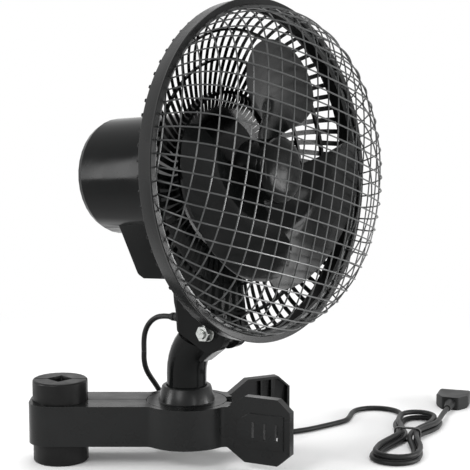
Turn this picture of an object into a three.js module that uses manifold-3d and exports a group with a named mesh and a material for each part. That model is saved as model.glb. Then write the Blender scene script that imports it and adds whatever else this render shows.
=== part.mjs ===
// Clip fan: a sprung clamp with padded jaws, a swivel neck and a tilting fan head in a wire cage.
// Millimetres, +Z up. The origin is the axis of the gripped pole at the foot of the grip pads.
// +X runs along the clamp to its pivot, and -Y is the side that the fan faces.
import * as THREE from "three";
import { mergeVertices } from "three/addons/utils/BufferGeometryUtils.js";
import Module from "manifold-3d";

const wasm = await Module();
wasm.setup();

// ---------------------------------------------------------------- sizes
const GAP = 0.3; // clearance between pieces that seat on each other

// Grip pads and the pole between them
const PAD_RADIUS = 26;
const PAD_HEIGHT = 78;
const PAD_BEVEL = 1.2;
const POLE_HALF_DIAGONAL = 12;

// Clamp jaws
const PIVOT_X = 119; // pole axis to jaw pivot
const JAW_BOTTOM = 20;
const JAW_HEIGHT = 38;
const JAW_HALF_DEPTH = 28.5;
const JAW_CORNER = 20;
const JAW_WALL = 3;
const JAW_SPLIT = 0.9;
const BOSS_RADIUS = 44;
const BOSS_FILLET = 7;
const STOP_ANGLE = 14; // degrees from the middle plane to each jaw's stop edge
const KNUCKLE_RADIUS = 36.8;
const FRONT_KNUCKLE = 5.8; // thickness of the two outer knuckles
const REAR_KNUCKLE = 4.2; // thickness of the two inner knuckles

// Jaw spring
const SPRING_WIRE = 2.4;
const SPRING_RADIUS = 17;
const SPRING_TURNS = 3.5;

// Squeeze handles
const HANDLE_ANGLE = 26;
const HANDLE_LENGTH = 63.2;
const HANDLE_HALF_HEIGHT = 31;
const HANDLE_PLATE = 3;
const HANDLE_RIM = 9;
const HANDLE_RIM_WALL = 2.5;
const HANDLE_PANEL = 1.4;
const SLOT_WIDTH = 2.6;

// Swivel socket
const PIVOT_TUBE_RADIUS = 10;
const PIVOT_STUB_RADIUS = 7.7;
const FLANGE_RADIUS = 38;
const FLANGE_THICK = 3;
const COLLAR_FOOT_RADIUS = 26.8;
const COLLAR_TOP_RADIUS = 23.2;
const COLLAR_HEIGHT = 14.5;
const SCREW_RADIUS = 3;
const WASHER_RADIUS = 16;

// Neck
const NECK_RADIUS = 18.75;
const NECK_STRAIGHT = 26;
const NECK_BEND_RADIUS = 45;
const NECK_LEAN = 42;
const FAN_FACING = 51.2; // degrees from -Y toward +X

// Tilt hinge
const HINGE_FORWARD = 41;
const HINGE_HEIGHT = 130;
const TONGUE_WIDTH = 16;
const TONGUE_RADIUS = 15.5;
const CHEEK_RADIUS = 19;
const CHEEK_WIDTH = 35.4;
const BOLT_RADIUS = 4;
const NUT_FLATS = 13;
const NUT_HEIGHT = 6.5;
const BOLT_HEAD = 5.3;
const TILT_WASHER = 1.6; // thickness
const REST_TILT = 4.9;

// Head
const FAN_AXIS_HEIGHT = 144; // hinge to fan axis
const HEAD_FORWARD = 9; // how far the motor and cage stand ahead of the hinge
const COVER_RADIUS = 54.8;
const COVER_LENGTH = 129;
const COVER_WALL = 2.5;
const COVER_EDGE = 8;
const LOBE_HALF_WIDTH = 32;
const STEM_TOP = 50;
const STEM_BACK = 38;
const PLATE_THICK = 4;
const PLATE_BACK = 2.3; // back of the mounting plate, along the shaft
const VENTS = 8;

// Motor
const SHAFT_RADIUS = 4;
const STATOR_RADIUS = 40;
const STATOR_BORE = 24.5;
const STATOR_LENGTH = 28;
const STATOR_BACK = -62;
const POST_CIRCLE = 30;
const SCREW_CIRCLE = 42.4;
const BUSH_RADIUS = 7.7;
const FRONT_ARM = -12; // front face of the front bracket's arms
const REAR_ARM = -84; // rear face of the rear bracket's arms
const ARM_THICK = 3;
const ARM_HALF = 4;
const BRACKET_HUB = 12; // length of the hub that holds a bush

// Blades
const HUB_RADIUS = 28;
const HUB_BACK = 41;
const HUB_FRONT = 67;
const HUB_WALL = 2.5;
const SPINNER_RADIUS = 29.5;
const SPINNER_LENGTH = 12.7;
const BLADE_RADIUS = 114;
const BLADE_THICK = 1.8;
const BLADES = 3;
const BLADE_TURN = 86; // degrees from the level line to the middle of the first blade
const BLADE_FORWARD = 16.5; // how far the blades' middle stands ahead of the hub's
const BLADE_ADVANCE = 18.5; // forward reach of a blade over 45 degrees
const ROOT_ADVANCE = 11.3; // the same at the hub
const BLADE_DISH = 3.2;

// Cage
const RING_RADIUS = 150;
const RING_BACK = 42;
const RING_WIDTH = 15;
const RING_WALL = 2.4;
const GRILLE_HUB_RADIUS = 50;
const SPOKES = 26;
const SPOKE_WIDTH = 2.6;
const SPOKE_SWIRL = 13; // degrees of lean from hub to rim
const WIRE = 2; // width and depth of the front mesh wires
const MESH_TURN = 16; // degrees between the mesh wires and the level
const MESH_PITCH_LEVEL = 26;
const MESH_PITCH_STEEP = 33;
const CAGE_DEPTH = 57; // front of the ring to the front of the dome

// Cord
const CORD_RADIUS = 2.6;
const LOOP_BEND = 28; // bend radius where the cord turns down behind the neck
const FLOOR_BEND = 26; // bend radius where it turns back on the floor
const HANK_RUN = 64; // half the straight run of the hank
const PLUG_WIDTH = 35.3;
const PLUG_THICK = 13.7;
const PIN_RADIUS = 2;
const PIN_LENGTH = 19;
const PIN_SPACING = 18.6;

// ---------------------------------------------------------------- looks
const blackPlastic = { color: 0x1c1d1e, roughness: 0.3, metalness: 0 };
const ringPlastic = { color: 0x2b2d2d, roughness: 0.38, metalness: 0 };
const satinPlastic = { color: 0x2f302f, roughness: 0.5, metalness: 0 };
const padRubber = { color: 0x232423, roughness: 0.75, metalness: 0 };
const wireEnamel = { color: 0x4a4c4b, roughness: 0.35, metalness: 0.4 };
const zincSteel = { color: 0xa9aaa6, roughness: 0.32, metalness: 0.9 };
const darkSteel = { color: 0x55585a, roughness: 0.4, metalness: 0.85 };
const copper = { color: 0xb06a3a, roughness: 0.35, metalness: 0.9 };
const laminate = { color: 0x6d7073, roughness: 0.5, metalness: 0.7 };
const cordVinyl = { color: 0x1d1e1e, roughness: 0.5, metalness: 0 };
const nickel = { color: 0xb9b6ac, roughness: 0.3, metalness: 0.9 };

// ---------------------------------------------------------------- solids
const radians = THREE.MathUtils.degToRad;

// A closed solid from any geometry, its vertices merged and its faces turned outward.
function solidOf(geometry) {
  const loose = geometry.index ? geometry.toNonIndexed() : geometry;
  const bare = new THREE.BufferGeometry();
  bare.setAttribute("position", loose.getAttribute("position").clone());
  const merged = mergeVertices(bare, 1e-3);
  const place = merged.getAttribute("position").array;
  const index = merged.index.array;
  const faces = [];
  let volume = 0;
  const a = new THREE.Vector3();
  const b = new THREE.Vector3();
  const c = new THREE.Vector3();
  for (let i = 0; i < index.length; i += 3) {
    const [p, q, r] = index.slice(i, i + 3);
    if (p === q || q === r || r === p) continue;
    faces.push([p, q, r]);
    a.fromArray(place, 3 * p);
    b.fromArray(place, 3 * q);
    c.fromArray(place, 3 * r);
    volume += a.dot(b.cross(c));
  }
  const outward = volume < 0 ? faces.map(([p, q, r]) => [p, r, q]) : faces;
  const triVerts = new Uint32Array(outward.flat());
  const mesh = new wasm.Mesh({ numProp: 3, vertProperties: new Float32Array(place), triVerts });
  return new wasm.Manifold(mesh);
}

function geometryOf(solid) {
  const { numProp, vertProperties, triVerts } = solid.getMesh();
  const flat = [];
  for (const v of triVerts) {
    flat.push(...vertProperties.slice(v * numProp, v * numProp + 3));
  }
  const geometry = new THREE.BufferGeometry();
  geometry.setAttribute("position", new THREE.Float32BufferAttribute(flat, 3));
  geometry.computeVertexNormals();
  return geometry;
}

function fuse(...geometries) {
  return geometryOf(geometries.map(solidOf).reduce((all, next) => all.add(next)));
}

function cut(body, ...tools) {
  return geometryOf(tools.map(solidOf).reduce((left, tool) => left.subtract(tool), solidOf(body)));
}

function common(one, other) {
  return geometryOf(solidOf(one).intersect(solidOf(other)));
}

// ---------------------------------------------------------------- outlines
// Points along an arc, angles in degrees.
function arc(x, y, radius, from, to, steps) {
  const points = [];
  for (let i = 0; i <= steps; i++) {
    const angle = radians(from + ((to - from) * i) / steps);
    points.push([x + radius * Math.cos(angle), y + radius * Math.sin(angle)]);
  }
  return points;
}

const round = (radius, steps = 32, x = 0, y = 0) => arc(x, y, radius, 0, 360, steps).slice(0, -1);

const box = (x0, y0, x1, y1) => [[x0, y0], [x1, y0], [x1, y1], [x0, y1]];

// A closed outline whose corners [x, y, radius] are rounded.
function soft(corners, steps = 3) {
  return corners.flatMap(([x, y, radius = 0], i) => {
    if (!radius) return [[x, y]];
    const [bx, by] = corners.at(i - 1);
    const [ax, ay] = corners[(i + 1) % corners.length];
    const back = new THREE.Vector2(bx - x, by - y).normalize();
    const ahead = new THREE.Vector2(ax - x, ay - y).normalize();
    const half = Math.acos(back.dot(ahead)) / 2;
    const reach = radius / Math.tan(half);
    const centre = back.clone().add(ahead).setLength(radius / Math.sin(half));
    const start = back.multiplyScalar(reach).sub(centre);
    const end = ahead.multiplyScalar(reach).sub(centre);
    const from = THREE.MathUtils.radToDeg(start.angle());
    const turn = THREE.MathUtils.radToDeg(end.angle()) - from;
    const sweep = turn - 360 * Math.round(turn / 360);
    return arc(x + centre.x, y + centre.y, radius, from, from + sweep, steps);
  });
}

function shapeOf(points) {
  return new THREE.Shape(points.map(([x, y]) => new THREE.Vector2(x, y)));
}

// ---------------------------------------------------------------- prisms, revolves and tubes
function prismZ(points, from, to) {
  const geometry = new THREE.ExtrudeGeometry(shapeOf(points), { depth: to - from, bevelEnabled: false });
  return geometry.translate(0, 0, from);
}

// Outline in Y and Z, drawn along X.
function prismX(points, from, to) {
  const axes = new THREE.Matrix4().makeBasis(
    new THREE.Vector3(0, 1, 0),
    new THREE.Vector3(0, 0, 1),
    new THREE.Vector3(1, 0, 0),
  );
  return prismZ(points, from, to).applyMatrix4(axes);
}

// Outline in X and Z, drawn along Y.
function prismY(points, from, to) {
  return prismZ(points, -to, -from).rotateX(Math.PI / 2);
}

// Profile of [radius, height] turned about Z.
function revolveZ(profile, segments = 32) {
  const points = profile.map(([r, z]) => new THREE.Vector2(r, z));
  return new THREE.LatheGeometry(points, segments).rotateX(Math.PI / 2);
}

// Profile of [x, radius] turned about X.
function revolveX(profile, segments = 32) {
  const points = profile.map(([x, r]) => new THREE.Vector2(r, x));
  return new THREE.LatheGeometry(points, segments).rotateZ(-Math.PI / 2);
}

function ringX(back, front, inner, outer, segments = 32) {
  return revolveX([[back, inner], [back, outer], [front, outer], [front, inner], [back, inner]], segments);
}

function rodX(back, front, radius, segments = 24) {
  return revolveX([[back, 0], [back, radius], [front, radius], [front, 0]], segments);
}

function rodZ(from, to, radius, segments = 24) {
  return revolveZ([[0, from], [radius, from], [radius, to], [0, to]], segments);
}

function rodY(from, to, radius, segments = 24) {
  return rodZ(-to, -from, radius, segments).rotateX(Math.PI / 2);
}

// A curve that passes its stations at even steps, with the mean direction at each.
class Stations extends THREE.Curve {
  constructor(points) {
    super();
    this.points = points;
  }
  getPoint(t) {
    const last = this.points.length - 1;
    const i = Math.min(Math.floor(t * last + 1e-9), last - 1);
    return this.points[i].clone().lerp(this.points[i + 1], t * last - i);
  }
  getPointAt(u) {
    return this.getPoint(u);
  }
  getTangentAt(u) {
    const last = this.points.length - 1;
    const i = Math.round(u * last);
    const ahead = this.points[Math.min(i + 1, last)];
    const back = this.points[Math.max(i - 1, 0)];
    return ahead.clone().sub(back).normalize();
  }
}

function tube(points, radius, sides) {
  const extrudePath = new Stations(points);
  const steps = points.length - 1;
  return new THREE.ExtrudeGeometry(shapeOf(round(radius, sides)), { steps, extrudePath });
}

// Flat cells, each a ring of [u, v] corners, raised to a plate: place(u, v, side) gives the point
// on the front (side 1) or the back (side -1), and walls close every edge that no other cell shares.
function plate(cells, place) {
  const key = (p) => p.toArray().map((n) => Math.round(n * 200)).join(" ");
  const shared = new Set();
  const rings = cells.map((cell) => cell.map(([u, v]) => [place(u, v, 1), place(u, v, -1)]));
  for (const ring of rings) {
    ring.forEach(([front], i) => {
      const [next] = ring[(i + 1) % ring.length];
      shared.add(key(front) + "|" + key(next));
    });
  }
  const flat = [];
  const face = (...points) => points.forEach((p) => flat.push(p.x, p.y, p.z));
  for (const ring of rings) {
    for (let i = 1; i + 1 < ring.length; i++) {
      face(ring[0][0], ring[i][0], ring[i + 1][0]);
      face(ring[0][1], ring[i + 1][1], ring[i][1]);
    }
    ring.forEach(([front, back], i) => {
      const [nextFront, nextBack] = ring[(i + 1) % ring.length];
      if (shared.has(key(nextFront) + "|" + key(front))) return;
      face(front, back, nextBack);
      face(front, nextBack, nextFront);
    });
  }
  const geometry = new THREE.BufferGeometry();
  geometry.setAttribute("position", new THREE.Float32BufferAttribute(flat, 3));
  return geometry;
}

// ---------------------------------------------------------------- the tree of frames
const fan = new THREE.Group();
const neckFrame = new THREE.Group();
neckFrame.position.x = PIVOT_X;
neckFrame.rotation.z = radians(FAN_FACING - 90);
const headFrame = new THREE.Group();
headFrame.position.set(HINGE_FORWARD, 0, HINGE_HEIGHT);
headFrame.rotation.y = -radians(REST_TILT);
const axisFrame = new THREE.Group();
axisFrame.position.set(HEAD_FORWARD, 0, FAN_AXIS_HEIGHT);
fan.add(neckFrame);
neckFrame.add(headFrame);
headFrame.add(axisFrame);
fan.updateMatrixWorld(true);

function piece(frame, name, geometry, look) {
  const mesh = new THREE.Mesh(fuse(geometry), new THREE.MeshStandardMaterial(look));
  mesh.name = name;
  frame.add(mesh);
}

// ---------------------------------------------------------------- clamp
const jawTop = JAW_BOTTOM + JAW_HEIGHT;
const filletY = -(JAW_HALF_DEPTH + BOSS_FILLET);
const filletX = Math.sqrt((BOSS_RADIUS + BOSS_FILLET) ** 2 - filletY ** 2);
const filletAngle = THREE.MathUtils.radToDeg(Math.atan2(-filletY, filletX));
const handleX = PIVOT_X + filletX + 1.4;
const bossInner = BOSS_RADIUS - JAW_WALL;
const jawEnd = PAD_RADIUS + GAP + 2.2;
const flangeBottom = jawTop - FLANGE_THICK;
const lowFront = [JAW_BOTTOM, JAW_BOTTOM + FRONT_KNUCKLE];
const lowRear = [lowFront[1] + GAP, lowFront[1] + GAP + REAR_KNUCKLE];
const highFront = [flangeBottom - GAP - FRONT_KNUCKLE, flangeBottom - GAP];
const highRear = [highFront[0] - GAP - REAR_KNUCKLE, highFront[0] - GAP];

function gripPad() {
  const bevelled = revolveZ([
    [0, 0],
    [PAD_RADIUS - PAD_BEVEL, 0],
    [PAD_RADIUS, PAD_BEVEL],
    [PAD_RADIUS, PAD_HEIGHT - PAD_BEVEL],
    [PAD_RADIUS - PAD_BEVEL, PAD_HEIGHT],
    [0, PAD_HEIGHT],
  ], 24);
  const reach = PAD_RADIUS + 1;
  const farHalf = prismZ(box(-reach, -JAW_SPLIT / 2, reach, reach), -1, PAD_HEIGHT + 1);
  const d = POLE_HALF_DIAGONAL;
  const groove = prismZ([[-d, 0], [0, -d], [d, 0], [0, d]], -1, PAD_HEIGHT + 1);
  return cut(bevelled, farHalf, groove);
}

// Half of the clamp body, on the -Y side of the split, up to the root of its handle.
function jawBody() {
  const split = -JAW_SPLIT / 2;
  const atHandle = handleX - PIVOT_X;
  const rootAngle = THREE.MathUtils.radToDeg(Math.acos(atHandle / BOSS_RADIUS));
  const outline = [
    [-jawEnd, split],
    ...arc(JAW_CORNER - jawEnd, JAW_CORNER - JAW_HALF_DEPTH, JAW_CORNER, 180, 270, 6),
    ...arc(PIVOT_X - filletX, filletY, BOSS_FILLET, 90, filletAngle, 3),
    ...arc(PIVOT_X, 0, BOSS_RADIUS, 180 + filletAngle, 360 - filletAngle, 14),
    ...arc(PIVOT_X + filletX, filletY, BOSS_FILLET, 180 - filletAngle, 90, 3),
    [handleX, -JAW_HALF_DEPTH],
    ...arc(PIVOT_X, 0, BOSS_RADIUS, -rootAngle, -STOP_ANGLE, 3),
    [PIVOT_X - split / Math.tan(radians(STOP_ANGLE)), split],
  ];
  const low = JAW_BOTTOM + JAW_WALL;
  const high = jawTop - JAW_WALL;
  const padBore = prismZ(round(PAD_RADIUS + GAP, 24), JAW_BOTTOM - 1, jawTop + 1);
  const innerY = JAW_HALF_DEPTH - JAW_WALL;
  const pocketStart = jawEnd + JAW_WALL;
  const pocketEnd = PIVOT_X - BOSS_RADIUS;
  const pocket = prismZ(
    soft([[pocketStart, 1], [pocketStart, -innerY, 4], [pocketEnd, -innerY, 4], [pocketEnd, 1]]),
    low,
    high,
  );
  const cavity = prismZ(round(bossInner, 28, PIVOT_X), low, high);
  const recess = prismZ(round(FLANGE_RADIUS + GAP, 28, PIVOT_X), flangeBottom - GAP, jawTop + 1);
  return cut(prismZ(outline, JAW_BOTTOM, jawTop), padBore, pocket, cavity, recess);
}

// A hinge disc and the web that ties it to the boss wall.
function knuckle([from, to]) {
  const disc = prismZ(round(KNUCKLE_RADIUS, 28, PIVOT_X), from, to);
  const rim = arc(PIVOT_X, 0, bossInner + JAW_WALL / 2, -160, -20, 7);
  const hub = arc(PIVOT_X, 0, KNUCKLE_RADIUS - 2, -20, -160, 7);
  return fuse(disc, prismZ([...rim, ...hub], from, to));
}

// Outline of the handle plate: u from its root, v from its middle.
function handleOutline(inset) {
  const root = JAW_HEIGHT / 2 - inset;
  const tall = HANDLE_HALF_HEIGHT - inset;
  const end = HANDLE_LENGTH - inset;
  const back = inset ? -8 : -4;
  return [
    [back, -root],
    [0, -root],
    [17.8, -tall],
    [HANDLE_LENGTH - 12.4, -tall],
    [end, -20],
    [end, 20],
    [HANDLE_LENGTH - 12.4, tall],
    [17.8, tall],
    [0, root],
    [back, root],
  ];
}

function handle() {
  const shell = prismZ(handleOutline(0), -HANDLE_RIM, 0);
  const hollow = prismZ(handleOutline(HANDLE_RIM_WALL), -HANDLE_RIM - 1, -HANDLE_PLATE);
  const panel = prismZ(
    [[10.7, -8], [22.5, -16], [57, -16], [57, 16], [22.5, 16], [10.7, 8]],
    -1,
    HANDLE_PANEL,
  );
  const slotAt = [27, 38.9, 50.2];
  const halfSlot = SLOT_WIDTH / 2;
  const slots = slotAt.map((u) =>
    prismZ(box(u - halfSlot, -8, u + halfSlot, 8), -HANDLE_RIM, HANDLE_PANEL + 1),
  );
  const ribHalf = HANDLE_HALF_HEIGHT - 1;
  const ribs = slotAt.slice(1).map((u) =>
    prismZ(box(u - 6.5, -ribHalf, u - 4.5, ribHalf), 2 - HANDLE_RIM, -1),
  );
  const made = cut(fuse(cut(shell, hollow), panel, ...ribs), ...slots);
  const turn = radians(HANDLE_ANGLE);
  const frame = new THREE.Matrix4().makeBasis(
    new THREE.Vector3(Math.cos(turn), -Math.sin(turn), 0),
    new THREE.Vector3(0, 0, 1),
    new THREE.Vector3(-Math.sin(turn), -Math.cos(turn), 0),
  );
  frame.setPosition(handleX, -JAW_HALF_DEPTH, JAW_BOTTOM + JAW_HEIGHT / 2);
  return made.applyMatrix4(frame);
}

function jaw(knuckles) {
  return fuse(jawBody(), handle(), ...knuckles.map(knuckle));
}

const pivotHole = prismZ(round(PIVOT_TUBE_RADIUS + GAP, 28, PIVOT_X), JAW_BOTTOM - 1, jawTop + 1);
const clearLow = prismZ(round(KNUCKLE_RADIUS + GAP, 28, PIVOT_X), JAW_BOTTOM - 1, lowFront[1]);
const mirrored = (geometry) => geometry.scale(1, -1, 1);

piece(fan, "front_jaw", cut(jaw([lowFront, highFront]), pivotHole), satinPlastic);
const rearHalf = fuse(cut(jawBody(), clearLow), handle(), knuckle(lowRear), knuckle(highRear));
piece(fan, "rear_jaw", mirrored(cut(rearHalf, pivotHole)), satinPlastic);
piece(fan, "front_grip_pad", gripPad(), padRubber);
piece(fan, "rear_grip_pad", mirrored(gripPad()), padRubber);

// Torsion spring: two legs bear on the boss walls at the handle roots, the turns lie between.
function jawSpring() {
  const seat = GAP + 0.2 + SPRING_WIRE / 2;
  const low = lowRear[1] + seat;
  const high = highRear[0] - seat;
  const legReach = bossInner - GAP - SPRING_WIRE / 2;
  const legX = legReach * Math.cos(radians(31.5));
  const legY = legReach * Math.sin(radians(31.5));
  const points = [];
  const legSteps = 3;
  for (let i = 0; i < legSteps; i++) {
    const along = i / legSteps;
    const y = THREE.MathUtils.lerp(legY, SPRING_RADIUS, along);
    points.push(new THREE.Vector3(PIVOT_X + legX * (1 - along), y, low));
  }
  const steps = 8 * SPRING_TURNS;
  for (let i = 0; i <= steps; i++) {
    const angle = Math.PI / 2 + (2 * Math.PI * i) / 8;
    const z = THREE.MathUtils.lerp(low, high, i / steps);
    const x = PIVOT_X + SPRING_RADIUS * Math.cos(angle);
    points.push(new THREE.Vector3(x, SPRING_RADIUS * Math.sin(angle), z));
  }
  for (let i = 1; i <= legSteps; i++) {
    const along = i / legSteps;
    const y = THREE.MathUtils.lerp(SPRING_RADIUS, legY, along);
    points.push(new THREE.Vector3(PIVOT_X + legX * along, -y, high));
  }
  return points;
}

// The least space between stretches of one tube that are not next to each other.
function selfGap(points, radius) {
  const spread = points.slice(1).flatMap((p, i) =>
    [0.25, 0.5, 0.75, 1].map((along) => points[i].clone().lerp(p, along)),
  );
  const lengths = [0];
  for (let i = 1; i < spread.length; i++) {
    lengths.push(lengths[i - 1] + spread[i].distanceTo(spread[i - 1]));
  }
  let least = Infinity;
  for (let i = 0; i < spread.length; i++) {
    for (let k = i + 1; k < spread.length; k++) {
      if (lengths[k] - lengths[i] < 10 * radius) continue;
      least = Math.min(least, spread[i].distanceTo(spread[k]) - 2 * radius);
    }
  }
  return least;
}

const springPoints = jawSpring();
piece(fan, "jaw_spring", tube(springPoints, SPRING_WIRE / 2, 5), zincSteel);
console.log("jaw_spring least self-gap " + selfGap(springPoints, SPRING_WIRE / 2).toFixed(2) + " mm");

// ---------------------------------------------------------------- swivel socket and neck
const stubHole = PIVOT_STUB_RADIUS + GAP;
const collarTop = jawTop + COLLAR_HEIGHT;
const neckHole = NECK_RADIUS + GAP + 0.05;
const socket = revolveZ([
  [stubHole, JAW_BOTTOM],
  [PIVOT_TUBE_RADIUS, JAW_BOTTOM],
  [PIVOT_TUBE_RADIUS, flangeBottom],
  [FLANGE_RADIUS, flangeBottom],
  [FLANGE_RADIUS, jawTop],
  [COLLAR_FOOT_RADIUS, jawTop],
  [COLLAR_TOP_RADIUS, collarTop - 1],
  [COLLAR_TOP_RADIUS - 1, collarTop],
  [neckHole, collarTop],
  [neckHole, jawTop],
  [stubHole, jawTop],
  [stubHole, JAW_BOTTOM],
], 24);
piece(fan, "swivel_socket", socket.translate(PIVOT_X, 0, 0), satinPlastic);

// The neck rises out of the socket and bends toward the hinge, where its tongue holds the bolt.
function neck() {
  const foot = jawTop + GAP;
  const bendStart = foot + NECK_STRAIGHT;
  const stations = [new THREE.Vector3(0, 0, foot), new THREE.Vector3(0, 0, bendStart - 4)];
  const bendSteps = 5;
  for (let i = 0; i <= bendSteps; i++) {
    const lean = radians((NECK_LEAN * i) / bendSteps);
    const x = NECK_BEND_RADIUS * (1 - Math.cos(lean));
    stations.push(new THREE.Vector3(x, 0, bendStart + NECK_BEND_RADIUS * Math.sin(lean)));
  }
  const lean = radians(NECK_LEAN);
  const ahead = new THREE.Vector3(Math.sin(lean), 0, Math.cos(lean)).multiplyScalar(16);
  stations.push(stations.at(-1).clone().add(ahead));
  const arm = tube(stations, NECK_RADIUS, 20);
  const [kx, kz] = [HINGE_FORWARD, HINGE_HEIGHT];
  const slope = radians(20);
  const shoulder = CHEEK_RADIUS + 0.55;
  const nx = Math.sin(slope);
  const nz = Math.cos(slope);
  const level = [kx - shoulder * nx, kz - shoulder * nz];
  const above = prismY(
    [
      [level[0] - 60 * nz, level[1] + 60 * nx],
      [level[0] + 60 * nz, level[1] - 60 * nx],
      [level[0] + 60 * nz + 80 * nx, level[1] - 60 * nx + 80 * nz],
      [level[0] - 60 * nz + 80 * nx, level[1] + 60 * nx + 80 * nz],
    ],
    -40,
    40,
  );
  const half = TONGUE_WIDTH / 2;
  const web = prismY(
    [
      [kx - 6, kz + 14.3],
      [kx - 31, kz - 6],
      [kx - 31, kz - 22],
      [kx - 17, kz - 32],
      [kx + 6, kz - 14.3],
    ],
    -half,
    half,
  );
  const eye = rodY(-half, half, TONGUE_RADIUS, 24).translate(kx, 0, kz);
  const stub = rodZ(JAW_BOTTOM, foot + 1, PIVOT_STUB_RADIUS, 24);
  const boltHole = rodY(-half - 1, half + 1, BOLT_RADIUS + GAP, 16).translate(kx, 0, kz);
  const screwHole = rodZ(JAW_BOTTOM - 1, JAW_BOTTOM + 20, SCREW_RADIUS + GAP, 12);
  return cut(fuse(cut(arm, above), web, eye, stub), boltHole, screwHole);
}

const washerTop = JAW_BOTTOM - GAP;
const screwTop = washerTop - 1 - GAP;
const washer = revolveZ([
  [SCREW_RADIUS + GAP, washerTop - 1],
  [WASHER_RADIUS, washerTop - 1],
  [WASHER_RADIUS, washerTop],
  [SCREW_RADIUS + GAP, washerTop],
  [SCREW_RADIUS + GAP, washerTop - 1],
], 20);
const screw = revolveZ([
  [0, screwTop - 3.4],
  [5.2, screwTop - 3.4],
  [6.4, screwTop - 2],
  [6.4, screwTop],
  [SCREW_RADIUS, screwTop],
  [SCREW_RADIUS, JAW_BOTTOM + 18],
  [0, JAW_BOTTOM + 18],
], 12);
piece(neckFrame, "neck", neck(), blackPlastic);
piece(neckFrame, "swivel_washer", washer, zincSteel);
piece(neckFrame, "swivel_screw", screw, zincSteel);

// ---------------------------------------------------------------- head bracket
const cheekHalf = CHEEK_WIDTH / 2;
const slotHalf = TONGUE_WIDTH / 2 + GAP;
const plateFront = PLATE_BACK + PLATE_THICK;
const reliefHeight = 10;
const reliefHole = 4;

function headBracket() {
  const side = soft([
    [-STEM_BACK, 0, 2],
    [-7.6, -17.4],
    [CHEEK_RADIUS, 0],
    [18, 20, 14],
    [HEAD_FORWARD + 7.5, 40],
    [HEAD_FORWARD + plateFront, STEM_TOP],
    [-STEM_BACK - 3, STEM_TOP],
    [-STEM_BACK - 5, 40],
    [-STEM_BACK, 20, 20],
  ]);
  const stem = fuse(prismY(side, -cheekHalf, cheekHalf), rodY(-cheekHalf, cheekHalf, CHEEK_RADIUS, 24));
  const plan = soft([
    [-STEM_BACK - 5.5, -cheekHalf, 8],
    [CHEEK_RADIUS + 3, -cheekHalf, 8],
    [CHEEK_RADIUS + 3, cheekHalf, 8],
    [-STEM_BACK - 5.5, cheekHalf, 8],
  ]);
  const rounded = common(stem, prismZ(plan, -40, STEM_TOP + 5));
  const fork = prismY(
    [[-60, -40], [40, -40], [40, 17.5], [-8, 17.5], [-STEM_BACK + 2, 4], [-60, 4 - 11]],
    -slotHalf,
    slotHalf,
  );
  const inner = cheekHalf - JAW_WALL;
  const hollow = prismY(
    [
      [-STEM_BACK + 3, 20.7],
      [13.5, 20.7],
      [HEAD_FORWARD + 4, 40],
      [HEAD_FORWARD + 3, STEM_TOP + 2],
      [-STEM_BACK - 2, STEM_TOP + 2],
      [-STEM_BACK - 1.8, 40],
    ],
    -inner,
    inner,
  );
  const cord = rodX(-STEM_BACK - 8, -STEM_BACK + 7, reliefHole + GAP, 16).translate(0, 0, reliefHeight);
  const bolt = rodY(-40, 40, BOLT_RADIUS + GAP, 16);
  const low = STEM_TOP - FAN_AXIS_HEIGHT - 2;
  const lobe = LOBE_HALF_WIDTH;
  const plateRadius = COVER_RADIUS - GAP;
  const disc = rodX(PLATE_BACK, plateFront, plateRadius, 36);
  const tabOutline = soft([[-lobe, low, 6], [lobe, low, 6], [lobe, -20], [-lobe, -20]]);
  const tab = prismX(tabOutline, PLATE_BACK, plateFront);
  const posts = [45, 135, 225, 315].map((angle) =>
    rodX(-11.7, plateFront - 1, 3.5, 12)
      .translate(0, POST_CIRCLE, 0)
      .rotateX(radians(angle)),
  );
  const shaftHole = rodX(PLATE_BACK - 1, plateFront + 1, 12, 24);
  const mount = cut(fuse(disc, tab, ...posts), shaftHole).translate(HEAD_FORWARD, 0, FAN_AXIS_HEIGHT);
  return fuse(cut(rounded, fork, hollow, cord, bolt), mount);
}

// Ribbed strain relief: the stub passes the rear wall of the bracket.
const reliefEnd = -STEM_BACK - 22.4;
const relief = [[-STEM_BACK + 6, 0], [-STEM_BACK + 6, reliefHole], [-STEM_BACK - GAP, reliefHole]];
for (let i = 0; i < 4; i++) {
  const x = -STEM_BACK - GAP - 5.4 * i;
  const r = 6 - 0.6 * i;
  relief.push([x, r], [x - 3.6, r - 0.2], [x - 3.6, r - 1.1], [x - 5.4, r - 1.3]);
}
relief.push([reliefEnd, 3.3], [reliefEnd, 0]);
piece(headFrame, "head_bracket", headBracket(), blackPlastic);
piece(headFrame, "strain_relief", revolveX(relief, 10).translate(0, 0, reliefHeight), cordVinyl);

// Tilt bolt, its nut and two washers
const nutStart = cheekHalf + GAP + TILT_WASHER + GAP;
const hexagon = (flats) => round(flats / Math.sqrt(3), 6);
const bolt = fuse(
  rodY(-nutStart - NUT_HEIGHT - 2.7, nutStart + 1, BOLT_RADIUS, 16),
  prismY(hexagon(NUT_FLATS), nutStart, nutStart + BOLT_HEAD),
);
const nutHole = rodY(-nutStart - NUT_HEIGHT - 1, 0, BOLT_RADIUS + GAP, 16);
const nut = cut(prismY(hexagon(NUT_FLATS), -nutStart - NUT_HEIGHT, -nutStart), nutHole);
function tiltWasher(from) {
  const disc = rodY(from, from + TILT_WASHER, 2 * BOLT_RADIUS, 18);
  return cut(disc, rodY(from - 1, from + TILT_WASHER + 1, BOLT_RADIUS + GAP, 12));
}
piece(headFrame, "tilt_bolt", bolt, zincSteel);
piece(headFrame, "tilt_nut", nut, zincSteel);
piece(headFrame, "tilt_washer_1", tiltWasher(-cheekHalf - GAP - TILT_WASHER), zincSteel);
piece(headFrame, "tilt_washer_2", tiltWasher(cheekHalf + GAP), zincSteel);

// ---------------------------------------------------------------- motor cover
const coverFront = PLATE_BACK - GAP;
const coverBack = coverFront - COVER_LENGTH;

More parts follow.
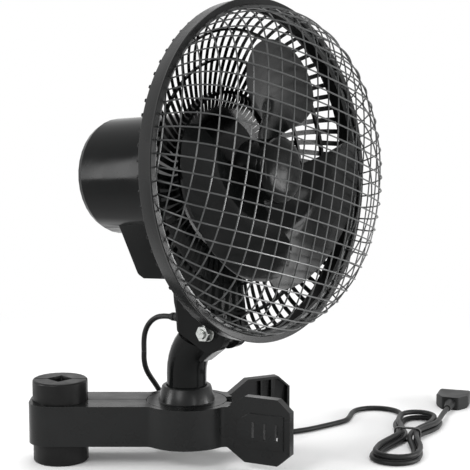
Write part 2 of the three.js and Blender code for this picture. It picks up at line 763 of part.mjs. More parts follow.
// The can with its lower lobe, drawn in by inset: the inside is the same form, drawn in by the wall.
function coverForm(inset) {
  const radius = COVER_RADIUS - inset;
  const back = coverBack + inset;
  const front = coverFront + (inset ? 1 : 0);
  const edge = COVER_EDGE - inset;
  const corner = arc(back + edge, radius - edge, edge, 180, 90, 2);
  const can = revolveX([[back, 0], ...corner, [front, radius], [front, 0]], 36);
  const floor = STEM_TOP + GAP - FAN_AXIS_HEIGHT + inset;
  const side = LOBE_HALF_WIDTH - inset;
  const lobe = prismY(
    soft([
      [-97 + inset, -44],
      [-77 + inset, floor + 4, 6],
      [-70 + inset, floor],
      [front, floor],
      [front, -20],
      [-80, -20],
    ]),
    -side,
    side,
  );
  const plan = soft([[-110, -side, 6], [10, -side], [10, side], [-110, side, 6]]);
  return fuse(can, common(lobe, prismZ(plan, floor - 1, 0)));
}

function motorCover() {
  const vents = [];
  for (let i = 0; i < VENTS; i++) {
    const slot = prismX(box(22, -1.5, 44, 1.5), coverBack - 1, coverBack + COVER_WALL + 1);
    vents.push(slot.rotateX((2 * Math.PI * i) / VENTS));
  }
  const spindle = rodX(coverBack - 1, coverBack + 9, 4, 16);
  const screws = [225, 315].map((angle) =>
    rodX(coverBack - 1, coverBack + 9, 2.3, 10)
      .translate(0, SCREW_CIRCLE, 0)
      .rotateX(radians(angle)),
  );
  const floor = STEM_TOP - FAN_AXIS_HEIGHT;
  const stemInside = box(-STEM_BACK + 1 - HEAD_FORWARD, -14, coverFront + 5, 14);
  const stemHole = prismZ(stemInside, floor - 1, floor + 5);
  return cut(coverForm(0), coverForm(COVER_WALL), ...vents, spindle, ...screws, stemHole);
}
piece(axisFrame, "motor_cover", motorCover(), blackPlastic);

// ---------------------------------------------------------------- motor
const statorFront = STATOR_BACK + STATOR_LENGTH;
const backIron = 3.4;
const poleHalf = 9;
const poleAngles = [0, 90, 180, 270];
const turned = (geometry, angle) => geometry.rotateX(radians(angle));

function statorCore() {
  const iron = ringX(STATOR_BACK, statorFront, STATOR_RADIUS - backIron, STATOR_RADIUS, 32);
  const shoeFoot = arc(0, 0, STATOR_BORE, -38, 38, 4);
  const shoeBack = arc(0, 0, STATOR_BORE + 3, 38, -38, 4);
  const poleBody = box(STATOR_BORE + 1, -poleHalf, STATOR_RADIUS - 1, poleHalf);
  const poles = poleAngles.flatMap((angle) => [
    turned(prismX([...shoeFoot, ...shoeBack], STATOR_BACK, statorFront), angle),
    turned(prismX(poleBody, STATOR_BACK, statorFront), angle),
  ]);
  return fuse(iron, ...poles);
}

function fieldCoil(angle) {
  const middle = (STATOR_BACK + statorFront) / 2;
  const halfLength = STATOR_LENGTH / 2;
  const halfWidth = poleHalf + 4;
  const low = STATOR_BORE + 3.8;
  const high = Math.sqrt((STATOR_RADIUS - backIron - 0.8) ** 2 - halfWidth ** 2);
  const across = (x, y, r) => soft([[-x, -y, r], [x, -y, r], [x, y, r], [-x, y, r]], 2);
  const outer = prismZ(across(halfLength + 4.5, halfWidth, 3), low, high);
  const inner = prismZ(across(halfLength + 0.5, poleHalf + 0.5, 0), low - 1, high + 1);
  return turned(cut(outer, inner).translate(middle, 0, 0).rotateX(-Math.PI / 2), angle);
}

// A bearing bracket: hub for the bush, four arms and legs that stand on the stator.
function bearingBracket(hubBack, armBack, legEnd, screwAngles) {
  const armFront = armBack + ARM_THICK;
  const hubFront = hubBack + BRACKET_HUB;
  const reach = STATOR_RADIUS - 2;
  const hub = rodX(hubBack, hubFront, BUSH_RADIUS + 3.3, 16);
  const legRange = legEnd > armBack ? [armBack, legEnd] : [legEnd, armFront];
  const arms = [45, 135, 225, 315].flatMap((angle) => [
    turned(prismX(box(BUSH_RADIUS + 0.6, -ARM_HALF, reach, ARM_HALF), armBack, armFront), angle),
    turned(prismX(box(reach - ARM_HALF - 1, -ARM_HALF, reach, ARM_HALF), ...legRange), angle),
  ]);
  const bosses = screwAngles.map((angle) =>
    turned(rodX(armBack, armFront, ARM_HALF + 1.4, 12).translate(0, SCREW_CIRCLE, 0), angle),
  );
  const bore = rodX(hubBack - 1, hubFront + 1, BUSH_RADIUS + GAP, 16);
  const holes = screwAngles.map((angle) =>
    turned(rodX(armBack - 1, armFront + 1, 2 + GAP, 8).translate(0, SCREW_CIRCLE, 0), angle),
  );
  return cut(fuse(hub, ...arms, ...bosses), bore, ...holes);
}

const bush = (back, front) => ringX(back, front, SHAFT_RADIUS + 0.35, BUSH_RADIUS, 16);
const frontHub = FRONT_ARM - BRACKET_HUB + 2;
const rearHub = REAR_ARM - 2;
const rotorCore = fuse(
  ringX(STATOR_BACK - 4, statorFront + 4, SHAFT_RADIUS + GAP, 20, 20),
  ringX(STATOR_BACK, statorFront, SHAFT_RADIUS + GAP, STATOR_BORE - 0.4, 20),
);
const spinnerBack = HUB_FRONT + GAP;
const shaftFront = spinnerBack + 7.7;
const shaft = revolveX([
  [REAR_ARM - 4, 0],
  [REAR_ARM - 4, SHAFT_RADIUS - 0.6],
  [REAR_ARM - 3.4, SHAFT_RADIUS],
  [shaftFront - 0.6, SHAFT_RADIUS],
  [shaftFront, SHAFT_RADIUS - 0.6],
  [shaftFront, 0],
], 16);

piece(axisFrame, "stator_core", statorCore(), laminate);
poleAngles.forEach((angle, i) => piece(axisFrame, "field_coil_" + (i + 1), fieldCoil(angle), copper));
const frontBracket = bearingBracket(frontHub, FRONT_ARM - ARM_THICK, statorFront + GAP, []);
const rearBracket = bearingBracket(rearHub, REAR_ARM, STATOR_BACK - GAP, [225, 315]);
piece(axisFrame, "front_bearing_bracket", frontBracket, zincSteel);
piece(axisFrame, "rear_bearing_bracket", rearBracket, zincSteel);
piece(axisFrame, "front_bush", bush(frontHub + GAP, frontHub + BRACKET_HUB - GAP), copper);
piece(axisFrame, "rear_bush", bush(rearHub + GAP, rearHub + BRACKET_HUB - GAP), copper);
piece(axisFrame, "rotor_core", rotorCore, laminate);
piece(axisFrame, "rotor_shaft", shaft, darkSteel);

// Speed switch, knob and the two screws of the cover
const switchBack = coverBack + COVER_WALL + GAP;
const spindleEnd = coverBack - 8;
const switchBox = fuse(
  prismX(box(-12, -12, 12, 12), switchBack, switchBack + 14),
  rodX(spindleEnd, switchBack + 1, 3, 12),
);
const knobFront = coverBack - GAP;
const flutes = round(15, 48).map(([y, z], i) => (i % 4 === 0 ? [y * 0.94, z * 0.94] : [y, z]));
const knob = cut(
  fuse(prismX(flutes, knobFront - 9, knobFront), rodX(knobFront - 11.5, knobFront - 8, 12, 24)),
  rodX(spindleEnd - GAP, knobFront + 1, 3 + GAP, 12),
);
piece(axisFrame, "speed_switch", switchBox, blackPlastic);
piece(axisFrame, "speed_knob", knob, satinPlastic);
[225, 315].forEach((angle, i) => {
  const head = coverBack - GAP;
  const made = revolveX([
    [head - 2.4, 0],
    [head - 2.4, 2.8],
    [head - 1, 4],
    [head, 4],
    [head, 2],
    [REAR_ARM + 2, 2],
    [REAR_ARM + 2, 0],
  ], 12);
  piece(axisFrame, "cover_screw_" + (i + 1), turned(made.translate(0, SCREW_CIRCLE, 0), angle), darkSteel);
});

// ---------------------------------------------------------------- blades
// Degrees from a blade's middle line to its rear and front edge at each radius.
const bladeTable = [
  [HUB_RADIUS - 0.8 * HUB_WALL, -38, 35],
  [BLADE_RADIUS * 0.4, -45, 42],
  [BLADE_RADIUS * 0.53, -49.5, 48],
  [BLADE_RADIUS * 0.66, -54, 49.5],
  [BLADE_RADIUS * 0.79, -55, 46],
  [BLADE_RADIUS * 0.88, -53, 38],
  [BLADE_RADIUS * 0.94, -48, 29],
  [BLADE_RADIUS * 0.98, -38, 19],
  [BLADE_RADIUS, -20, 6],
];
const hubMiddle = (HUB_BACK + HUB_FRONT) / 2;

function blade(middleAngle) {
  const across = 6;
  const cells = [];
  for (let row = 0; row + 1 < bladeTable.length; row++) {
    for (let i = 0; i < across; i++) {
      cells.push([[row, i], [row + 1, i], [row + 1, i + 1], [row, i + 1]]);
    }
  }
  const place = (row, i, side) => {
    const [r, rear, front] = bladeTable[row];
    const off = THREE.MathUtils.lerp(rear, front, i / across);
    const share = THREE.MathUtils.smoothstep(r, HUB_RADIUS, BLADE_RADIUS * 0.6);
    const advance = THREE.MathUtils.lerp(ROOT_ADVANCE, BLADE_ADVANCE, share);
    const f = off / 45;
    const middle = hubMiddle + BLADE_FORWARD * share;
    const x = middle + advance * f - BLADE_DISH * (1 - f * f) + (side * BLADE_THICK) / 2;
    const angle = radians(middleAngle + off);
    return new THREE.Vector3(x, r * Math.cos(angle), r * Math.sin(angle));
  };
  return plate(cells, place);
}

function bladeWheel() {
  const wall = HUB_WALL;
  const boss = SHAFT_RADIUS + 5;
  const cup = revolveX([
    [HUB_BACK, HUB_RADIUS - wall],
    [HUB_BACK, HUB_RADIUS],
    [HUB_FRONT - 2, HUB_RADIUS],
    [HUB_FRONT, HUB_RADIUS - 2],
    [HUB_FRONT, SHAFT_RADIUS + GAP],
    [HUB_BACK + 4, SHAFT_RADIUS + GAP],
    [HUB_BACK + 4, boss],
    [HUB_FRONT - wall, boss],
    [HUB_FRONT - wall, HUB_RADIUS - wall],
    [HUB_BACK, HUB_RADIUS - wall],
  ], 24);
  const blades = [];
  for (let i = 0; i < BLADES; i++) blades.push(blade(BLADE_TURN + (360 * i) / BLADES));
  return fuse(cup, ...blades);
}

const spinnerFront = spinnerBack + SPINNER_LENGTH;
const spinner = revolveX([
  [spinnerBack, SHAFT_RADIUS + GAP],
  [spinnerBack, SPINNER_RADIUS],
  [spinnerBack + 5, SPINNER_RADIUS],
  [spinnerBack + 8.5, SPINNER_RADIUS * 0.91],
  [spinnerBack + 11, SPINNER_RADIUS * 0.72],
  [spinnerFront - 0.5, SPINNER_RADIUS * 0.45],
  [spinnerFront, 0],
  [shaftFront + GAP, 0],
  [shaftFront + GAP, SHAFT_RADIUS + GAP],
  [spinnerBack, SHAFT_RADIUS + GAP],
], 24);
piece(axisFrame, "fan_blade", bladeWheel(), blackPlastic);
piece(axisFrame, "spinner", spinner, blackPlastic);

// ---------------------------------------------------------------- cage
const ringFront = RING_BACK + RING_WIDTH;
const seatRadius = RING_RADIUS - RING_WALL - GAP;
const lipRadius = RING_RADIUS - 5.2;
const ring = revolveX([
  [RING_BACK, RING_RADIUS - RING_WALL],
  [RING_BACK, RING_RADIUS],
  [ringFront - 3, RING_RADIUS],
  [ringFront, RING_RADIUS + 1.2],
  [ringFront, lipRadius],
  [ringFront - RING_WALL, lipRadius],
  [ringFront - RING_WALL, RING_RADIUS - RING_WALL],
  [RING_BACK, RING_RADIUS - RING_WALL],
], 48);
piece(axisFrame, "grille_ring", ring, ringPlastic);

// Rear grille: a dished wheel of leaning spokes, two thin rings, a collar and a rim.
function rearGrille() {
  const depth = 2.6;
  const hubX = plateFront + GAP + depth / 2;
  const rimX = RING_BACK + 2.6;
  const rise = rimX - hubX;
  const dish = new THREE.SplineCurve([
    new THREE.Vector2(hubX, 12.5),
    new THREE.Vector2(hubX, GRILLE_HUB_RADIUS),
    new THREE.Vector2(hubX + 0.06 * rise, seatRadius * 0.42),
    new THREE.Vector2(hubX + 0.18 * rise, seatRadius * 0.58),
    new THREE.Vector2(hubX + 0.39 * rise, seatRadius * 0.79),
    new THREE.Vector2(hubX + 0.67 * rise, seatRadius * 0.92),
    new THREE.Vector2(rimX, seatRadius - 1.3),
  ]);
  const samples = dish.getPoints(120);
  const at = (r) => {
    const i = Math.max(1, samples.findIndex((p) => p.y >= r - 1e-6));
    const [a, b] = [samples[i - 1], samples[i]];
    const x = Math.max(hubX, THREE.MathUtils.mapLinear(r, a.y, b.y, a.x, b.x));
    const normal = new THREE.Vector2(b.y - a.y, a.x - b.x).normalize();
    return [x, normal];
  };
  const reach = seatRadius - GRILLE_HUB_RADIUS;
  const lean = (r) => (SPOKE_SWIRL * Math.max(0, r - GRILLE_HUB_RADIUS)) / reach;
  const place = (r, angle, side) => {
    const [x, normal] = at(r);
    const turn = radians(angle - lean(r));
    const out = r + (side * depth * normal.y) / 2;
    const along = x + (side * depth * normal.x) / 2;
    return new THREE.Vector3(along, out * Math.cos(turn), out * Math.sin(turn));
  };
  const thin = 2.2;
  const rings = [seatRadius * 0.68, seatRadius * 0.85];
  const inner = 12.5;
  const hub = GRILLE_HUB_RADIUS;
  const end = seatRadius - 1.35;
  const bands = [
    [inner, hub, true],
    [hub, rings[0], false],
    [rings[0], rings[0] + thin, true],
    [rings[0] + thin, rings[1], false],
    [rings[1], rings[1] + thin, true],
    [rings[1] + thin, end - 4, false],
    [end - 4, end, true],
  ];
  const cells = [];
  const step = 360 / SPOKES;
  const half = (r) => THREE.MathUtils.radToDeg(SPOKE_WIDTH / 2 / r);
  for (let i = 0; i < SPOKES; i++) {
    const mid = step * i;
    for (const [from, to, filled] of bands) {
      cells.push([
        [from, mid - half(from)],
        [to, mid - half(to)],
        [to, mid + half(to)],
        [from, mid + half(from)],
      ]);
      if (!filled) continue;
      cells.push([
        [from, mid + half(from)],
        [to, mid + half(to)],
        [to, mid + step - half(to)],
        [from, mid + step - half(from)],
      ]);
    }
  }
  const collarX = at(71)[0];
  const collar = ringX(plateFront + GAP, collarX + 5, 70, 73, SPOKES).rotateX(Math.PI / SPOKES);
  return fuse(plate(cells, place), collar);
}
piece(axisFrame, "rear_grille", rearGrille(), blackPlastic);

// Front mesh: two crossing families of wires pressed into a dome, with a hoop that the ring holds.
function frontGrille() {
  const hoopFront = ringFront - RING_WALL - GAP;
  const hoopBack = hoopFront - 4.2;
  const skirt = lipRadius - GAP - 0.3 - WIRE / 2;
  const dome = new THREE.SplineCurve([
    new THREE.Vector2(ringFront + CAGE_DEPTH, 0),
    new THREE.Vector2(ringFront + CAGE_DEPTH - 1, 0.245 * skirt),
    new THREE.Vector2(ringFront + 0.92 * CAGE_DEPTH, 0.49 * skirt),
    new THREE.Vector2(ringFront + 0.825 * CAGE_DEPTH, 0.7 * skirt),
    new THREE.Vector2(ringFront + 0.7 * CAGE_DEPTH, 0.84 * skirt),
    new THREE.Vector2(ringFront + 0.565 * CAGE_DEPTH, 0.915 * skirt),
    new THREE.Vector2(ringFront + 0.37 * CAGE_DEPTH, 0.968 * skirt),
    new THREE.Vector2(ringFront + 0.175 * CAGE_DEPTH, 0.992 * skirt),
    new THREE.Vector2(ringFront, skirt),
    new THREE.Vector2(hoopBack + 0.5, skirt),
  ]);
  const length = dome.getLength();
  const keep = length - 1.2;
  const end = keep - 0.75 * WIRE;
  const place = (u, v, side) => {
    const rho = Math.min(Math.hypot(u, v), length);
    const angle = Math.atan2(v, u) - radians(MESH_TURN);
    const p = dome.getPointAt(rho / length);
    const t = dome.getTangentAt(rho / length);
    const x = p.x + (side * WIRE * t.y) / 2;
    const r = p.y - (side * WIRE * t.x) / 2;
    return new THREE.Vector3(x, r * Math.cos(angle), r * Math.sin(angle));
  };
  const h = WIRE / 2;
  const cells = [];
  const kept = (i, k) => Math.hypot((i + 0.5) * MESH_PITCH_STEEP, (k + 0.5) * MESH_PITCH_LEVEL) < keep;
  const most = Math.ceil(length / MESH_PITCH_LEVEL) + 1;
  // A bar from a node's edge to the next node, or to the end circle where there is none.
  const bar = (fixed, from, to, direction, upright) => {
    const stop = (side) => direction * Math.sqrt(end ** 2 - (fixed + side * h) ** 2);
    const whole = to !== null;
    const start = from + direction * h;
    if (!whole && direction * (stop(0) - start) < h) return;
    const near = [start, fixed - h];
    const nearTop = [start, fixed + h];
    const far = [whole ? to - direction * h : stop(-1), fixed - h];
    const farTop = [whole ? to - direction * h : stop(1), fixed + h];
    const ring = [near, far, farTop, nearTop].map(([a, b]) => (upright ? [b, a] : [a, b]));
    const clockwise = direction < 0 !== upright;
    cells.push(clockwise ? ring.reverse() : ring);
  };
  for (let i = -most; i < most; i++) {
    for (let k = -most; k < most; k++) {
      if (!kept(i, k)) continue;
      const u = (i + 0.5) * MESH_PITCH_STEEP;
      const v = (k + 0.5) * MESH_PITCH_LEVEL;
      cells.push(box(u - h, v - h, u + h, v + h));
      if (kept(i + 1, k)) bar(v, u, u + MESH_PITCH_STEEP, 1, false);
      else bar(v, u, null, 1, false);
      if (!kept(i - 1, k)) bar(v, u, null, -1, false);
      if (kept(i, k + 1)) bar(u, v, v + MESH_PITCH_LEVEL, 1, true);
      else bar(u, v, null, 1, true);
      if (!kept(i, k - 1)) bar(u, v, null, -1, true);
    }
  }
  const hoop = ringX(hoopBack, hoopFront, skirt - 1.4, seatRadius, 48);
  return fuse(plate(cells, place), hoop);
}
piece(axisFrame, "front_grille", frontGrille(), wireEnamel);

// ---------------------------------------------------------------- cord
const floorZ = CORD_RADIUS + 0.02;
const point = (x, y, z) => new THREE.Vector3(x, y, z);

// The cord leaves the strain relief, bends down behind the neck and meets the longer run.
const reliefTip = headFrame.localToWorld(point(reliefEnd - GAP, 0, reliefHeight));
const bendStart = headFrame.localToWorld(point(reliefEnd - GAP - 8, 0, reliefHeight));
const backward = new THREE.Vector2(bendStart.x - reliefTip.x, bendStart.y - reliefTip.y).normalize();
const slope = radians(REST_TILT);
const bendDown = [0, 1, 2, 3, 4, 5].map((step) => {
  const dip = THREE.MathUtils.lerp(slope, Math.PI / 2, step / 5);
  const out = LOOP_BEND * (Math.sin(dip) - Math.sin(slope));
  const down = LOOP_BEND * (Math.cos(slope) - Math.cos(dip));
  return bendStart.clone().add(point(backward.x * out, backward.y * out, -down));
});
const junction = bendDown.at(-1).clone().setZ(97);
const loopCurve = new THREE.CatmullRomCurve3([reliefTip, ...bendDown, junction]);
const loopPoints = loopCurve.getSpacedPoints(10);
const loopEnd = loopPoints[10].clone().sub(loopPoints[9]).normalize();
piece(fan, "cord_loop", tube(loopPoints, CORD_RADIUS, 8), cordVinyl);

// A hank point from its own axes: across q, along s, height z.
const hankCentre = point(335, 60, 0);
const hankAlong = point(0.3, 0.954, 0).normalize();
const hankAcross = point(hankAlong.y, -hankAlong.x, 0);
const waistPull = 12.65;
const waistReach = 55;
const tieThick = 1.2;

function hankPoint(q, s, z) {
  const near = Math.abs(s) < waistReach ? (1 + Math.cos((Math.PI * s) / waistReach)) / 2 : 0;
  const across = q - Math.sign(q) * waistPull * near;
  const at = hankCentre.clone().addScaledVector(hankAcross, across).addScaledVector(hankAlong, s);
  at.z = z + (tieThick + GAP) * near;
  return at;
}

const runEnd = hankPoint(-21.8, HANK_RUN, floorZ);
const runLead = runEnd.clone().addScaledVector(hankAlong, 7);
const turnStart = runEnd.clone().addScaledVector(hankAlong, 16);
const turnCentre = turnStart.clone().addScaledVector(hankAcross, -FLOOR_BEND);
const floorBend = (...turn) => arc(...turn).map(([x, y]) => point(x, y, floorZ));
const runCurve = new THREE.CatmullRomCurve3([
  junction.clone().addScaledVector(loopEnd, GAP + 0.2),
  point(76.9, 33.9, 90),
  point(77.7, 34.8, 83),
  point(79.7, 37.2, 76),
  point(82.9, 41.1, 69),
  point(86.9, 45.6, 61.5),
  point(91.1, 50.2, 52.8),
  point(95.2, 54.8, 42.4),
  point(99.3, 59, 31),
  point(103.8, 62.8, 20.6),
  point(110.8, 66.4, 11.8),
  point(120.6, 69.6, 5.8),
  point(132.5, 72.2, 3),
  point(145, 74, floorZ),
  point(170, 75, floorZ),
  point(195, 77, floorZ),
  point(216, 82, floorZ),
  point(236, 91.4, floorZ),
  point(254, 104.6, floorZ),
  ...floorBend(253.7, 143.4, FLOOR_BEND + 4, -52, -14.5, 2),
  ...floorBend(turnCentre.x, turnCentre.y, FLOOR_BEND, 165.5, -17.5, 10),
  runLead,
  runEnd,
]);
piece(fan, "cord_run", tube(runCurve.getSpacedPoints(38), CORD_RADIUS, 8), cordVinyl);

// Three loops: two side by side on the floor and one above, drawn in at the waist by the tie.
function hankStations() {
  const layer = 5.8;
  const high = floorZ + layer;
  const stations = [];
  const runSteps = 8;
  const endSteps = 5;
  const run = (q, direction, zFrom, zTo) => {
    for (let i = 0; i <= runSteps; i++) {
      const along = i / runSteps;
      const s = direction * HANK_RUN * (2 * along - 1);
      const climb = THREE.MathUtils.smoothstep(along, 0, 1);
      stations.push(hankPoint(q, s, THREE.MathUtils.lerp(zFrom, zTo, climb)));
    }
  };
  const turn = (qFrom, qTo, end, z) => {
    const middle = (qFrom + qTo) / 2;
    const radius = (qTo - qFrom) / 2;
    for (let i = 1; i < endSteps; i++) {
      const angle = (Math.PI * i) / endSteps;
      const s = end * (HANK_RUN + Math.abs(radius) * Math.sin(angle));
      stations.push(hankPoint(middle - radius * Math.cos(angle), s, z));
    }
  };
  run(-21.8, -1, floorZ, floorZ);
  turn(-21.8, 21.8, -1, floorZ);
  run(21.8, 1, floorZ, floorZ);
  turn(21.8, -15.7, 1, floorZ);
  run(-15.7, -1, floorZ, floorZ);
  turn(-15.7, 15.7, -1, floorZ);
  run(15.7, 1, floorZ, high);
  turn(15.7, -18.75, 1, high);
  run(-18.75, -1, high, high);
  turn(-18.75, 21.8, -1, high);
  run(21.8, 1, high, high);
  return stations;
}

const hank = hankStations();
const hankEnd = hank.at(-1);
const tailLength = 46;
const tailSteps = 5;
const bootStart = hankPoint(21.8, HANK_RUN + tailLength, PLUG_THICK / 2);
for (let i = 1; i <= tailSteps; i++) {
  const along = i / tailSteps;
  const at = hankEnd.clone().lerp(bootStart, along);
  at.z = THREE.MathUtils.lerp(hankEnd.z, bootStart.z, THREE.MathUtils.smoothstep(along, 0.3, 1));
  hank.push(at);
}
const hankStart = hank[0].clone().addScaledVector(hankAlong, -GAP);
hank[0] = hankStart;
piece(fan, "cord_hank", tube(hank, CORD_RADIUS, 6), cordVinyl);
console.log("cord_hank least self-gap " + selfGap(hank, CORD_RADIUS).toFixed(2) + " mm");

const hankFrame = new THREE.Group();
hankFrame.position.copy(hankCentre);
hankFrame.rotation.z = Math.atan2(hankAcross.y, hankAcross.x);
fan.add(hankFrame);

// The tie is a flat band round all the strands at the waist.
const strandHalf = 21.8 - waistPull + CORD_RADIUS + GAP;
const strandTop = floorZ + 5.8 + tieThick + GAP + CORD_RADIUS + GAP;
const tieOutline = (out) =>
  soft([
    [-strandHalf - out, tieThick - out, 1 + out],
    [strandHalf + out, tieThick - out, 1 + out],
    [strandHalf + out, strandTop + out, 3 + out],
    [-strandHalf - out, strandTop + out, 3 + out],
  ]);
const tie = cut(prismY(tieOutline(tieThick), -2, 2), prismY(tieOutline(0), -3, 3));
piece(hankFrame, "cord_tie", tie, satinPlastic);

// Plug: a flat two-pin body with a tapered boot, lying on the floor.
const plugQ = 21.8;
const bootLength = 22;
const plugLength = 35;
const bootBack = HANK_RUN + tailLength + GAP;
const plugBack = bootBack + bootLength;
const plugFront = plugBack + plugLength;
const plugHalf = PLUG_WIDTH / 2;
const plugPlan = soft([
  [-plugHalf + 9, plugBack - 1, 3],
  [plugHalf - 9, plugBack - 1, 3],
  [plugHalf, plugBack + 14, 8],
  [plugHalf, plugFront, 3],
  [-plugHalf, plugFront, 3],
  [-plugHalf, plugBack + 14, 8],
]);
const plugEdge = 3.2;
const plugEnd = soft([
  [-plugHalf, 0, plugEdge],
  [plugHalf, 0, plugEdge],
  [plugHalf, PLUG_THICK, plugEdge],
  [-plugHalf, PLUG_THICK, plugEdge],
]);
const boot = revolveZ([
  [0, bootBack],
  [CORD_RADIUS + 1, bootBack],
  [5.6, plugBack],
  [5.6, plugBack + 2],
  [0, plugBack + 2],
], 16).rotateX(-Math.PI / 2).translate(0, 0, PLUG_THICK / 2);
const body = common(prismZ(plugPlan, 0, PLUG_THICK), prismY(plugEnd, plugBack - 2, plugFront + 1));
const pinHoles = [-1, 1].map((side) =>
  rodY(plugFront - 6, plugFront + 1, PIN_RADIUS + GAP, 12)
    .translate((side * PIN_SPACING) / 2, 0, PLUG_THICK / 2),
);
piece(hankFrame, "plug_body", cut(fuse(body, boot), ...pinHoles).translate(plugQ, 0, 0), cordVinyl);
[-1, 1].forEach((side, i) => {
  const pin = revolveZ([
    [0, plugFront - 5.7],
    [PIN_RADIUS, plugFront - 5.7],
    [PIN_RADIUS, plugFront + PIN_LENGTH - 1.4],
    [PIN_RADIUS - 1.2, plugFront + PIN_LENGTH],
    [0, plugFront + PIN_LENGTH],
  ], 12).rotateX(-Math.PI / 2);
  const x = plugQ + (side * PIN_SPACING) / 2;
  piece(hankFrame, "plug_pin_" + (i + 1), pin.translate(x, 0, PLUG_THICK / 2), nickel);
});

export default fan;
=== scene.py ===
"""A black clip fan: a sprung clamp, a swivel neck, a tilting head with caged blades, and its cord.

Lengths in the tables below are in millimetres unless they say otherwise.
"""

from math import atan2, cos, hypot, pi, radians, sin

import bmesh
import bpy
from mathutils import Matrix, Vector


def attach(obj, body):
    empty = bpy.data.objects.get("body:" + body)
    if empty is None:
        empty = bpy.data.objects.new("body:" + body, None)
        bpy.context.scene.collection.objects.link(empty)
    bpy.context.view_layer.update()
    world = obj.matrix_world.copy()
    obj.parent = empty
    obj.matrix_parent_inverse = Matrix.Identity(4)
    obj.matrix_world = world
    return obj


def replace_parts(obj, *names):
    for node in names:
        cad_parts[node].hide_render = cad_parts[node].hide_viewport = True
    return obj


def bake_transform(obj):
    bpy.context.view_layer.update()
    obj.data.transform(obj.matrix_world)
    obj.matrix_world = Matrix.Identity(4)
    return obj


bl_info = {
    "name": "Clip Fan",
    "version": (1, 0, 0),
    "blender": (4, 5, 0),
    "location": "3D View > Sidebar > Clip Fan",
    "description": "Dresses the parts of a clip fan and lights them",
    "category": "Object",
}

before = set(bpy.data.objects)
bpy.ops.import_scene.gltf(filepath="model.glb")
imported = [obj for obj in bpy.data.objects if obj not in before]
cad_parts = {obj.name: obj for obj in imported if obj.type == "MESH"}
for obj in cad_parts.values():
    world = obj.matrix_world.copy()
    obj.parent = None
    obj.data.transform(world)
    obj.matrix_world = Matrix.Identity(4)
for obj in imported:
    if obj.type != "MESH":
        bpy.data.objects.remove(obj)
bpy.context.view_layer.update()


def linear(code):
    """A linear colour from an sRGB hex code."""
    parts = [int(code[i : i + 2], 16) / 255 for i in (1, 3, 5)]
    return tuple(c / 12.92 if c <= 0.04045 else ((c + 0.055) / 1.055) ** 2.4 for c in parts)


# Where things are. Shapes are drawn in millimetres and set down in metres.
MILLIMETRES = Matrix.Scale(0.001, 4)
NECK = Matrix.Translation((119, 0, 0)) @ Matrix.Rotation(radians(-38.8), 4, "Z")
HEAD = NECK @ Matrix.Translation((41, 0, 130)) @ Matrix.Rotation(radians(-4.9), 4, "Y")
FAN_AXIS = HEAD @ Matrix.Translation((9, 0, 144))  # X runs forward along the shaft
SHAFT_TO_X = FAN_AXIS.to_3x3().inverted().to_euler()  # turns a pattern's X along the shaft

# Camera
CAMERA_PLACE = (0.1644, -1.28407, 0.3906)  # in metres
CAMERA_TILT = 82.17  # degrees up from straight down
LENS = 107.2  # focal length
SENSOR = 36  # width

# Lights: name, place, width and height in metres, and power in watts
LAMPS = (
    ("key", (-0.9, -1.5, 1.35), 0.65, 0.65, 16),
    ("low_right", (1.15, -0.2, 0.17), 0.7, 0.28, 9),
    ("top", (0.2, 0.5, 1.9), 0.9, 0.9, 12),
    ("left_side", (-1.35, -0.3, 0.55), 0.45, 0.8, 11),
    ("right_strip", (1.0, -1.35, 0.4), 0.16, 1.1, 5),
)
LAMP_AIM = Vector((0.15, 0, 0.22))
SKY_LIGHT = 0.55  # strength of the even light from all round

# Floor, in metres
FLOOR_RADIUS = 6
FLOOR_DROP = 0.0002  # gap under the pads, so that the faces don't flicker
FADE_CENTRE = (0.2, 0.05, 0)
FADE_START = 0.3  # distance from there at which the floor starts to fade to white
FADE_END = 0.75

# Rounding of small pieces' edges, in metres
FINE_EDGE = 0.0003
TIE_EDGE = 0.0002

# Cage. A profile's points are the distance along the shaft and the radius.
SEAT_RADIUS = 147.3  # outside of the mesh hoop, inside the ring
RING_PROFILE = [
    (42, 147.6),
    (42, 149.6),
    (42.6, 150),
    (53.6, 150),
    (56.2, 151.1),
    (57, 150.6),
    (57, 145.4),
    (56.4, 144.8),
    (54.6, 144.8),
    (54.6, 147.6),
]
HOOP_PROFILE = [
    (50.4, 141.8),
    (50.1, 142.4),
    (50.1, 147),
    (50.6, SEAT_RADIUS),
    (54, SEAT_RADIUS),
    (54.3, 147),
    (54.3, 141.8),
]
DOME = [
    (114, 0),
    (113, 35.1),
    (109.44, 70.2),
    (104.03, 100.2),
    (96.9, 120.3),
    (89.2, 131.0),
    (78.09, 138.6),
    (66.98, 142.05),
    (57, 143.2),
    (50.6, 143.2),
]
MESH_TURN = radians(16)  # between the mesh wires and the level
MESH_MARGIN = 1.2  # from the wires' ends to the dome's edge
LAST_WIRE = 4  # least distance from an outermost wire to the edge of the mesh
WIRE_STEP = 5  # length of a straight stretch of wire
WIRE_OFFSET = 0.4  # share of its thickness by which each set of wires lies off the dome

# Rear grille
PLATE_DEPTH = 7.9  # middle of the hub plate along the shaft
PLATE_RADIUS = 50
GRILLE_BACK = 6.7
DISH = [
    (PLATE_DEPTH, 12.5),
    (PLATE_DEPTH, PLATE_RADIUS),
    (10.1, 61.9),
    (14.5, 85.4),
    (22.2, 116.4),
    (32.5, 135.5),
    (44.6, 146.0),
]
BANDS = (
    (12.5, PLATE_RADIUS, 2.6),
    (100.2, 102.4, 2.8),
    (125.2, 127.4, 2.8),
    (141.95, 145.95, 2.8),
)  # inner radius, outer radius and thickness of the plate, the two thin rings and the rim
COLLAR_PROFILE = [(GRILLE_BACK, 70), (16.8, 70), (16.8, 73), (GRILLE_BACK, 73)]
SPOKE_FOOT = 48  # radius at which a spoke starts
SPOKE_END = 145.6
SPOKE_THICKNESS = 2.6
SPOKE_SWIRL = radians(13)  # lean from plate to rim
SPOKE_ROWS = 20
